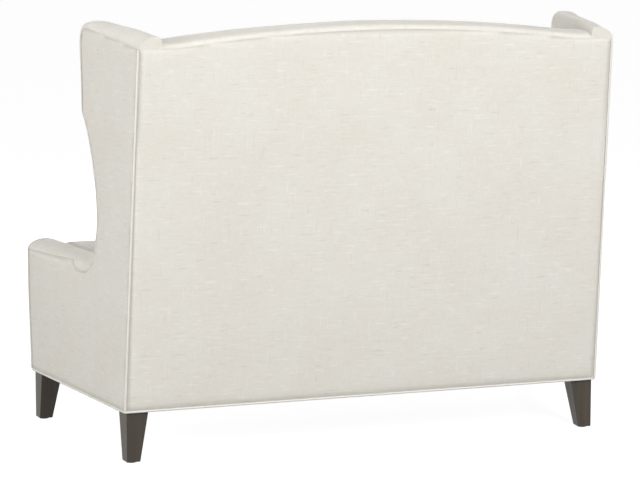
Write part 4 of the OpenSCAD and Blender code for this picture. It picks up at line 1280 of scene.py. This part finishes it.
@listed
class SETTEE_OT_inside_back(bpy.types.Operator):
    """Makes the padded inside back, with its crest rolled over the top to the rear seam"""
    bl_idname = "settee.inside_back"
    bl_label = "Inside back"

    def execute(self, context):
        crown = (1 - np.cos(np.linspace(0, math.pi, 25))) / 2
        drop = np.linspace(0, 1, 44)[1:] ** DROP_POWER
        across = np.sin(np.linspace(-math.pi / 2, math.pi / 2, 101) * ACROSS_SHARE)
        across /= math.sin(math.pi / 2 * ACROSS_SHARE)
        rings = np.array([self.ring(t, crown, drop) for t in across])
        x, y, z = rings[..., 0], rings[..., 1], rings[..., 2]
        edge = (1 - np.abs(across))[:, None] * side_x(WING_T, BODY_DEPTH)
        tuck = rolled(np.repeat(edge, rings.shape[1], 1), *BACK_TUCK)
        tuck[:, :len(crown)] *= CREST_TUCK_SHARE
        waves = uneven(np.stack([x, z], -1), "inside_back") * grown(edge, BACK_TUCK[1])
        shown = slice(2, len(crown) + len(drop) - 1)
        lift = (waves - tuck)[:, shown]
        top = (BACK_L + arch(x)) * math.cos(BACK_LEAN) + CREST_TURN_RISE
        share_down = grown(top - z, CREST_TURN)[:, shown]
        y[:, shown] -= lift * share_down
        z[:, shown] += lift * (1 - share_down)
        piece = sleeve("inside_back", on_body(x, y, z))
        covered(piece, "inside_back_cover", "back_foam")
        return {"FINISHED"}

    def ring(self, t, crown, drop):
        """Points round the back at one place across it: over the crest, down the face and back up inside"""
        up = BACK_L + float(arch(t * side_x(WING_T, BODY_DEPTH)))
        top_h, top_y = up * math.cos(BACK_LEAN), BODY_DEPTH + up * math.sin(BACK_LEAN)
        points = []
        for share in crown:
            sink = float(rolled(share * CREST_T, *CREST_ROLL))
            points.append((top_y - share * CREST_T - THIN_GAP, top_h + EDGE_CROWN * float(cap(share)) - sink))
        for share in drop:
            h = top_h + share * (DECK_TOP - top_h)
            points.append((rear_y(h) - back_thickness(share), h))
        base = DECK_TOP + FACE_GAP
        foot = points[-1][0]
        points[-1] = (foot, base)
        for share in BACK_FOOT_SHARES:
            points.append((foot + share * (rear_y(base) - FOAM_IN - foot), base))
        inside_top = top_h - EDGE_PAD
        for h in np.linspace(base, inside_top, 12):
            points.append((rear_y(h) - FOAM_IN / math.cos(BACK_LEAN), h))
        points += [(top_y - SKIN, inside_top + FACE_GAP), (top_y - COVER_T, top_h - TURN_IN)]
        y, z = np.array(points).T
        limit = np.where(z < ARM_H - LEG_H, np.maximum(WING_T, self.arm_reach(z)), WING_T)
        return np.stack([t * (side_x(limit, y) + BACK_OVERLAP), y, z], -1)

    def arm_reach(self, z):
        """Depth behind the side's face of the arm's inner surface, at a height above the underside"""
        share = np.clip((z - ARM_SEAM) / ARM_CAP_H, 0, 1)
        return ARM_W / 2 * (1 + np.sqrt(1 - share ** 2))


# Seat


@listed
class SETTEE_OT_seat(bpy.types.Operator):
    """Makes the front border and the padded deck under the cushion"""
    bl_idname = "settee.seat"
    bl_label = "Border and deck"

    def execute(self, context):
        s = context.scene.settee_padding
        edge = WELT_IN + WELT_R
        half = side_x(ARM_W, 0.0)
        top = DECK_TOP - SEAM_GAP
        outline = np.array([(-half, edge), (half, edge), (half, top), (-half, top)])

        def border(x, up, from_edge):
            swell = PANEL_SWELL * grown(from_edge, BORDER_REACH, PILLOW_POWER)
            depth = rolled(from_edge, s.seam_sink, BORDER_ROLL_W) - swell
            return on_body(x, depth - uneven(np.column_stack([x, up]), "border"), up)

        piece = panel("front_border_cover", outline, EDGE_ROWS, PANEL_PITCH, border)
        thicken(piece, SKIN - SHEET_GAP, (0, -1, 0))
        covered(piece, "front_border")
        plan = plan_outline(ARM_W, SKIN, rear_y(DECK_BASE) - FRAME_IN / math.cos(BACK_LEAN))

        def deck(x, y, from_edge):
            waves = np.abs(uneven(np.column_stack([x, y]), "deck"))
            sag = DECK_SAG * grown(from_edge, DECK_SAG_REACH) + DECK_WAVER_SHARE * waves
            return on_body(x, y, DECK_TOP - FACE_GAP - sag - rolled(from_edge, *DECK_ROLL))

        piece = panel("seat_deck", plan, DECK_ROWS, DECK_PITCH, deck)
        thicken(piece, DECK_TOP - DECK_BASE - DECK_THINNER, (0, 0, 1))
        finish_piece(piece, "settee", deck_cloth(),
                     ["deck_cover", "deck_foam", "deck_insulator"])
        return {"FINISHED"}


def plan_outline(n, front, back):
    """Corners of the plan between two places behind the front, at a depth behind the sides' faces"""
    return np.array([(-side_x(n, front), front), (side_x(n, front), front),
                     (side_x(n, back), back), (-side_x(n, back), back)])


def cushion_half_w(y):
    return side_x(ARM_W + CUSHION_SIDE_GAP, y)


CUSHION_BACK = rear_y(DECK_TOP) - BACK_T_AT_SEAT - BACK_SWELL - CUSHION_BACK_GAP
CUSHION_MID = (CUSHION_FRONT_GAP + CUSHION_BACK) / 2
CUSHION_HALF_D = (CUSHION_BACK - CUSHION_FRONT_GAP) / 2
CUSHION_BASE = DECK_TOP + CUSHION_LIFT


def cushion_plan(u, v):
    """Point of the cushion's rim plan, where u and v run from -1 to 1 across and from front to back"""
    y = CUSHION_MID + v * (CUSHION_HALF_D - CUSHION_DRAW * (1 - u * u))
    return u * (cushion_half_w(y) - CUSHION_DRAW * (1 - v * v)), y


def cushion_rim(pitch, out=0.0):
    """Closed line round the cushion's plan, moved outwards by out"""
    steps = np.linspace(-1, 1, 41)[:-1]
    ones = np.ones_like(steps)
    u = np.concatenate([steps, ones, -steps, -ones])
    v = np.concatenate([-ones, steps, ones, -steps])
    x, y = cushion_plan(u, v)
    line = np.column_stack([x, y])
    line = respaced(np.vstack([line, line[:1]]), pitch)[:-1]
    along = np.roll(line, -1, axis=0) - np.roll(line, 1, axis=0)
    along /= np.linalg.norm(along, axis=1)[:, None]
    moved = line + out * np.column_stack([along[:, 1], -along[:, 0]])
    for _ in range(2):
        moved = (np.roll(moved, 1, axis=0) + 2 * moved + np.roll(moved, -1, axis=0)) / 4
    return moved


@listed
class SETTEE_OT_cushion(bpy.types.Operator):
    """Makes the loose seat cushion, swollen by a cloth simulation, and the welts round its seams"""
    bl_idname = "settee.cushion"
    bl_label = "Cushion"

    def execute(self, context):
        piece = self.block()
        only(piece)
        piece.data.remesh_voxel_size = context.scene.settee_padding.cushion_voxel
        bpy.ops.object.voxel_remesh()
        start = np.array([v.co for v in piece.data.vertices])
        moved = self.swell(piece, start)
        self.settle(piece, start, moved)
        modifier = piece.modifiers.new("Finer", "SUBSURF")
        modifier.levels = 1
        modifier.render_levels = 1
        apply_all(piece)
        self.lay_weave(piece)
        finish_piece(piece, "seat_cushion", cover_cloth(), ["cushion_cover", "cushion_core"])
        self.welts()
        return {"FINISHED"}

    def block(self):
        """The cushion's cut before it is filled, a little smaller than its place"""
        cols, rows, layers = 60, 24, 6
        points, index = [], {}
        for k in range(layers + 1):
            for j, v in enumerate(np.linspace(-1, 1, rows + 1)):
                for i, u in enumerate(np.linspace(-1, 1, cols + 1)):
                    if 0 < k < layers and 0 < i < cols and 0 < j < rows:
                        continue
                    x, y = cushion_plan(u, v)
                    index[i, j, k] = len(points)
                    points.append((x, y - MIDDLE_Y, LEG_H + CUSHION_BASE + CUSHION_T * k / layers))
        faces = []
        for k in (0, layers):
            faces += self.quads(lambda i, j: index[i, j, k], cols, rows)
        for j in (0, rows):
            faces += self.quads(lambda i, k: index[i, j, k], cols, layers)
        for i in (0, cols):
            faces += self.quads(lambda j, k: index[i, j, k], rows, layers)
        piece = piece_from("seat_cushion_cover", points, faces)
        face_out(piece)
        return piece

    def quads(self, at, cols, rows):
        """Faces of a grid whose point numbers are given by at"""
        return [(at(i, j), at(i + 1, j), at(i + 1, j + 1), at(i, j + 1))
                for j in range(rows) for i in range(cols)]

    def seam_distances(self, points):
        """Height of each point above the base, and its distances from the rim and from the nearer seam"""
        up = points[:, 2] - LEG_H - CUSHION_BASE
        inside = edge_distance(points[:, :2] + np.array([0, MIDDLE_Y]), cushion_rim(RIM_PITCH))
        return up, inside, np.hypot(np.minimum(np.abs(up), np.abs(CUSHION_T - up)), inside)

    def swell(self, piece, start):
        """How far a pressure simulation moves each point of the cut"""
        modifier = piece.modifiers.new("Fill", "CLOTH")
        modifier.settings.effector_weights.gravity = 0
        for key, value in FILL.items():
            setattr(modifier.settings, key, value)
        for step in range(1, FILL_STEPS + 1):
            bpy.context.scene.frame_set(step)
        swollen = piece.evaluated_get(bpy.context.evaluated_depsgraph_get())
        moved = np.array([v.co for v in swollen.to_mesh().vertices]) - start
        swollen.to_mesh_clear()
        piece.modifiers.remove(modifier)
        bpy.context.scene.frame_set(1)
        return moved

    def settle(self, piece, start, moved):
        """Moves each point within its room: nothing at the seams, little at the sides, most on the top"""
        up, inside, seam = self.seam_distances(start)
        free = 1 - np.exp(-(seam / CUSHION_ROUND) ** 2)
        on_top = grown(up / CUSHION_T - (1 - EDGE_SHARE), EDGE_SHARE) * grown(inside, TOP_EDGE_W)
        on_base = grown(EDGE_SHARE - up / CUSHION_T, EDGE_SHARE)
        rise = bpy.context.scene.settee_padding.cushion_rise
        limit = CUSHION_SIDE_SWELL + (rise - CUSHION_SIDE_SWELL) * on_top
        share = np.minimum(1, limit / np.maximum(np.linalg.norm(moved, axis=1), 1e-9))
        moved = moved * (share * free)[:, None]
        moved[:, :2] *= (1 - on_top)[:, None]
        moved[:, 2] = np.where(on_base > 0, 0, moved[:, 2])
        flat = start[:, :2]
        crumple, fine_crumple, pucker = (height * waver(flat, size, seed)
                                         for height, size, seed in (CRUMPLE, FINE_CRUMPLE, PUCKER))
        pucker = pucker * np.exp(-(inside / PUCKER_REACH) ** 2)
        moved[:, 2] += (crumple + fine_crumple + pucker) * on_top * free
        points = start + moved
        points[:, 2] = np.maximum(points[:, 2], LEG_H + CUSHION_BASE)
        piece.data.vertices.foreach_set("co", points.astype(np.float32).ravel())
        piece.data.update()

    def lay_weave(self, piece):
        """Lays the weave flat on the top and base and round the sides, and marks the seams for the shade
        painted along them
        """
        mesh = piece.data
        layer = mesh.uv_layers.new(name="Weave")
        for face in mesh.polygons:
            flat = max(range(3), key=lambda k: abs(face.normal[k]))
            for loop in face.loop_indices:
                p = mesh.vertices[mesh.loops[loop].vertex_index].co
                layer.data[loop].uv = ((p.y, p.z), (p.x, p.z), (p.x, p.y))[flat]
        seam = self.seam_distances(np.array([v.co for v in mesh.vertices]))[2]
        # Closeness to a seam, along which the finish paints shade
        shade = mesh.attributes.new("Seam", "FLOAT", "POINT")
        shade.data.foreach_set("value", np.clip(1 - seam / CUSHION_SHADE_W, 0, 1))

    def welts(self):
        """Makes the two welts that follow the cushion's seams"""
        rim = cushion_rim(CUSHION_WELT_PITCH, CUSHION_WELT_R + CUSHION_LIFT)
        parts = []
        for number, height in enumerate((CUSHION_T - CUSHION_WELT_R, CUSHION_WELT_FULL)):
            path = on_body(rim[:, 0], rim[:, 1], CUSHION_BASE + height)
            parts.append(tube(f"cushion_welt_{number}", path, CUSHION_WELT_FULL, 10, True))
        piece = joined(parts, "cushion_welts")
        finish_piece(piece, "seat_cushion", welt_cloth(), ["cushion_welt"])


# Welts and underside


@listed
class SETTEE_OT_welts(bpy.types.Operator):
    """Makes the welts down the rear corners and round the bottom edge"""
    bl_idname = "settee.welts"
    bl_label = "Welts"

    def execute(self, context):
        up = np.linspace(2 * WELT_R, BACK_RISE - WELT_R, 80)
        y = rear_y(up) - WELT_IN / math.cos(BACK_LEAN)
        x = side_x(WELT_IN, y)
        parts = [tube(f"corner_{side}", on_body(side * x, y, up), WELT_R, 12, False) for side in (1, -1)]
        piece = joined(parts, "rear_corner_welts")
        finish_piece(piece, "settee", welt_cloth(), ["corner_welts"])
        piece = tube("bottom_edge_welt", self.round_path(), WELT_R, 12, True)
        finish_piece(piece, "settee", welt_cloth(), ["bottom_welt"])
        return {"FINISHED"}

    def round_path(self):
        """Closed line of the bottom welt, with its corners eased"""
        corners = plan_outline(WELT_IN, WELT_IN, BODY_DEPTH - WELT_IN)
        line = []
        for i, at in enumerate(corners):
            before, after = corners[i - 1], corners[(i + 1) % 4]
            a = at + (before - at) / np.linalg.norm(before - at) * BOTTOM_WELT_CORNER
            b = at + (after - at) / np.linalg.norm(after - at) * BOTTOM_WELT_CORNER
            line += [a, *corner(a, at, b, 8)]
        line = np.array(line)
        line = respaced(np.vstack([line, line[:1]]), BOTTOM_WELT_PITCH)[:-1]
        return on_body(line[:, 0], line[:, 1], WELT_IN)


@listed
class SETTEE_OT_underside(bpy.types.Operator):
    """Makes the dust cover under the seat and the interlaced webbing inside the back"""
    bl_idname = "settee.underside"
    bl_label = "Dust cover and webbing"

    def execute(self, context):
        edge = SKIN + TURN_IN
        outline = plan_outline(edge, edge, BODY_DEPTH - edge)
        turn = np.linspace(0, 2 * math.pi, 17)[:-1]
        holes = [np.column_stack([x + INSERT_R * np.cos(turn), y + INSERT_R * np.sin(turn)])
                 for x, y in self.leg_centres()]

        def place(x, y, from_edge):
            waves = 1 + DUST_WAVER_SHARE * waver(np.column_stack([x, y]), *DUST_WAVER)
            return on_body(x, y, THIN_GAP - DUST_SAG * grown(from_edge, DUST_SAG_REACH) * waves)

        piece = panel("dust_sheet", outline, (), DUST_PITCH, place, holes)
        thicken(piece, DUST_SHEET_T, (0, 0, -1))
        finish_piece(piece, "settee", lining_cloth(), ["dust_cover"])
        self.webbing()
        return {"FINISHED"}

    def leg_centres(self):
        """Plan places of the four legs' bolts"""
        found = []
        for rear in (False, True):
            turned = math.pi + FLARE / 2 if rear else FLARE / 2
            y = BODY_DEPTH - LEG_INSET if rear else LEG_INSET
            b = LEG_TOP_W / 2
            a = b if rear else -b
            x = side_x(LEG_INSET, y) + a * math.cos(turned) - b * math.sin(turned)
            y += a * math.sin(turned) + b * math.cos(turned)
            found += [(x, y), (-x, y)]
        return found

    def webbing(self):
        """Makes the straps, each passing over and under those that cross it"""
        reach = side_x(ARM_W, BODY_DEPTH) - WEB_W
        low, high = LOWER_RAIL_RISE, BACK_L - CREST_RAIL_H / 2
        rise = high - low
        uprights = [reach * (2 * i / (WEB_COUNT - 1) - 1) for i in range(WEB_COUNT)]
        levels = [low + rise * i / (WEB_ROWS + 1) + WEB_W / 2 for i in range(1, WEB_ROWS + 1)]
        parts = []
        for i, x in enumerate(uprights):
            run = np.linspace(low, high, 160)
            parts.append(self.strap(f"web_{i}", run, self.weave_depth(run, levels, i), x, False))
        for j, level in enumerate(levels):
            run = np.linspace(-reach - WEB_W / 2, reach + WEB_W / 2, 260)
            depth = -self.weave_depth(run, uprights, j)
            parts.append(self.strap(f"web_{j + WEB_COUNT}", run, depth, level, True))
        piece = joined(parts, "back_webs")
        finish_piece(piece, "settee", web_cloth(), ["back_webbing"])

    def weave_depth(self, run, crossings, number):
        """Depth of a strap about the middle of the webbing, changing sides between crossings"""
        middle = WEB_T / 2
        signs = [middle if (k + number) % 2 else -middle for k in range(len(crossings))]
        return np.interp(run, crossings, signs)

    def strap(self, name, run, depth, place, level):
        """Makes one strap; level straps run across the back, the others up it"""
        thick = WEB_T / 2 - WEB_GAP
        shares = (-1, -0.5, 0, 0.5, 1)
        corners = [(share, -1) for share in shares] + [(share, 1) for share in reversed(shares)]
        rings = []
        for r, d in zip(run, depth):
            ring = []
            for across, through in corners:
                side = place + across * WEB_W / 2
                deep = FRAME_IN + WEB_T + d + through * thick
                ring.append(on_back(r, deep, side) if level else on_back(side, deep, r))
            rings.append(ring)
        return sleeve(name, np.array(rings))


# Finishes of the solids that stay

LEVEL = (0, math.radians(90), 0)
DEEP = (math.radians(90), 0, 0)


def timber(name, light, dark, shine, bump, distance, **shader):
    return finish_of(name, "Timber grain", {"Light": tuple(light), "Dark": tuple(dark), "Shine": shine},
                     bump, distance, **shader)


def speckled(name, light, dark, size, roughness, bump, distance, **shader):
    inputs = {"Light": tone(*light), "Dark": tone(*dark), "Size": size, "Base roughness": roughness}
    return finish_of(name, "Speckle", inputs, bump, distance, **shader)


@listed
class SETTEE_OT_frame_finishes(bpy.types.Operator):
    """Gives the timber, board, metal and plastic parts their finishes"""
    bl_idname = "settee.frame_finishes"
    bl_label = "Frame finishes"

    def execute(self, context):
        t = context.scene.settee_timber
        raw = {"shine": 0.68, "bump": 0.3, "distance": 0.0004}
        leg = timber("Stained leg", t.leg_light, t.leg_dark, shine=0.42, bump=0.25, distance=0.0003,
                     Specular_IOR_Level=0.45, Coat_Roughness=0.3)
        upright = timber("Frame wood upright", t.frame_light, t.frame_dark, **raw)
        level = timber("Frame wood level", t.frame_light, t.frame_dark, turn=LEVEL, **raw)
        deep = timber("Frame wood deep", t.frame_light, t.frame_dark, turn=DEEP, **raw)
        board = speckled("Fibre board", (150, 124, 92), (108, 86, 60), size=0.0022, roughness=0.85,
                         bump=0.4, distance=0.0003)
        ply = timber("Thin ply", tone(222, 196, 152), tone(188, 154, 108), shine=0.66, bump=0.25,
                     distance=0.0003, turn=DEEP)
        spring = speckled("Spring steel", (120, 121, 124), (84, 85, 88), size=0.0012, roughness=0.38,
                          bump=0.1, distance=0.0001, Metallic=1.0)
        zinc = speckled("Zinc plate", (196, 198, 200), (158, 160, 164), size=0.0016, roughness=0.32,
                        bump=0.08, distance=0.0001, Metallic=1.0)
        glide = speckled("Glide plastic", (58, 54, 50), (44, 41, 38), size=0.0008, roughness=0.5,
                         bump=0.15, distance=0.0001)
        finishes = {
            leg: ["leg_front_left", "leg_front_right", "leg_rear_left", "leg_rear_right"],
            upright: ["left_arm_post", "right_arm_post", "left_back_post", "right_back_post", "back_uprights",
                      "left_wing_board", "right_wing_board"],
            level: ["front_rail", "rear_rail", "crest_rail", "lower_back_rail", "corner_blocks",
                    "frame_dowels"],
            deep: ["left_side_rail", "right_side_rail", "left_arm_rail", "right_arm_rail",
                   "centre_stretcher"],
            board: ["left_outside_board", "right_outside_board", "outside_back_board"],
            ply: ["left_arm_liner", "right_arm_liner"],
            spring: ["seat_springs", "spring_clips"],
            zinc: ["hanger_bolts", "threaded_inserts"],
            glide: ["glides"],
        }
        for finish, names in finishes.items():
            for name in names:
                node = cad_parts[name]
                node.data.materials.clear()
                node.data.materials.append(finish)
        return {"FINISHED"}


# Stage


@listed
class SETTEE_OT_stage(bpy.types.Operator):
    """Sets up the pale floor, the soft lamps and the camera"""
    bl_idname = "settee.stage"
    bl_label = "Stage"

    def execute(self, context):
        s = context.scene.settee_stage
        bpy.ops.object.select_all(action="DESELECT")
        bpy.ops.mesh.primitive_plane_add(size=60, location=(0, 0, 0))
        floor = context.active_object
        floor.name = "floor"
        floor.data.materials.append(self.floor_finish(s))
        self.sky(context, s)
        for name, (place, size) in LAMPS.items():
            data = bpy.data.lights.new(name, "AREA")
            data.shape = "DISK"
            data.size = size
            data.energy = getattr(s, name)
            self.aimed(context, name, data, place, LAMP_TARGET)
        data = bpy.data.cameras.new("camera")
        data.lens = s.lens
        data.sensor_width = 36
        data.clip_end = 100
        context.scene.camera = self.aimed(context, "camera", data, CAMERA_PLACE, CAMERA_TARGET)
        context.scene.view_settings.view_transform = "Standard"
        return {"FINISHED"}

    def aimed(self, context, name, data, place, target):
        """Adds a lamp or camera that looks at a point"""
        made = bpy.data.objects.new(name, data)
        made.location = place
        made.rotation_euler = (Vector(target) - Vector(place)).to_track_quat("-Z", "Y").to_euler()
        context.scene.collection.objects.link(made)
        return made

    def looked_at(self, g):
        """1 for rays from the camera or from a glossy surface, 0 for the others"""
        path = g.add("ShaderNodeLightPath")
        return g.math("MAXIMUM", path.outputs["Is Camera Ray"], path.outputs["Is Glossy Ray"])

    def floor_finish(self, s):
        """Floor that shows white to the camera and still takes the object's shadow"""
        material = bpy.data.materials.new("Floor")
        g = cleared(material)
        matt = g.add("ShaderNodeBsdfDiffuse", {"Color": tuple(s.floor)})
        pale = g.add("ShaderNodeBsdfDiffuse", {"Color": FLOOR_COLOUR})
        glow = g.add("ShaderNodeEmission", {"Color": WHITE, "Strength": FLOOR_GLOW})
        both = g.add("ShaderNodeAddShader", {0: pale.outputs[0], 1: glow.outputs[0]})
        inputs = {0: self.looked_at(g), 1: matt.outputs[0], 2: both.outputs[0]}
        chosen = g.add("ShaderNodeMixShader", inputs)
        g.add("ShaderNodeOutputMaterial", {"Surface": chosen.outputs[0]})
        return material

    def sky(self, context, s):
        """Sky that lights the piece softly and shows white to the camera"""
        world = bpy.data.worlds.new("Sky")
        context.scene.world = world
        g = cleared(world)
        up = g.add("ShaderNodeSeparateXYZ", {0: g.add("ShaderNodeTexCoord").outputs["Generated"]}).outputs[2]
        overhead = g.times(g.ramp(up, 0.0, 1.0, 1.0, s.overhead), s.sky)
        dim = g.add("ShaderNodeBackground", {"Color": WHITE, "Strength": overhead})
        white = g.add("ShaderNodeBackground", {"Color": WHITE, "Strength": 1.0})
        chosen = g.add("ShaderNodeMixShader", {0: self.looked_at(g), 1: dim.outputs[0], 2: white.outputs[0]})
        g.add("ShaderNodeOutputWorld", {"Surface": chosen.outputs[0]})


class SETTEE_PT_panel(bpy.types.Panel):
    """Lists the settee's pieces and settings"""
    bl_label = "High back settee"
    bl_idname = "SETTEE_PT_panel"
    bl_space_type = "VIEW_3D"
    bl_region_type = "UI"
    bl_category = "Settee"

    def draw(self, context):
        for group in (context.scene.settee_cloth, context.scene.settee_padding, context.scene.settee_timber,
                      context.scene.settee_stage):
            box = self.layout.box()
            for key in group.__annotations__:
                box.prop(group, key)
        for cls in PIECES:
            self.layout.operator(cls.bl_idname)


SETTINGS = {
    "settee_cloth": SetteeClothSettings,
    "settee_padding": SetteePaddingSettings,
    "settee_timber": SetteeTimberSettings,
    "settee_stage": SetteeStageSettings,
}


def register():
    for key, cls in SETTINGS.items():
        bpy.utils.register_class(cls)
        setattr(bpy.types.Scene, key, bpy.props.PointerProperty(type=cls))
    for cls in PIECES:
        bpy.utils.register_class(cls)
    bpy.utils.register_class(SETTEE_PT_panel)


def unregister():
    bpy.utils.unregister_class(SETTEE_PT_panel)
    for cls in reversed(PIECES):
        bpy.utils.unregister_class(cls)
    for key, cls in reversed(SETTINGS.items()):
        delattr(bpy.types.Scene, key)
        bpy.utils.unregister_class(cls)


def main():
    register()
    for cls in PIECES:
        group, name = cls.bl_idname.split(".")
        getattr(getattr(bpy.ops, group), name)()


if __name__ == "__main__":
    main()
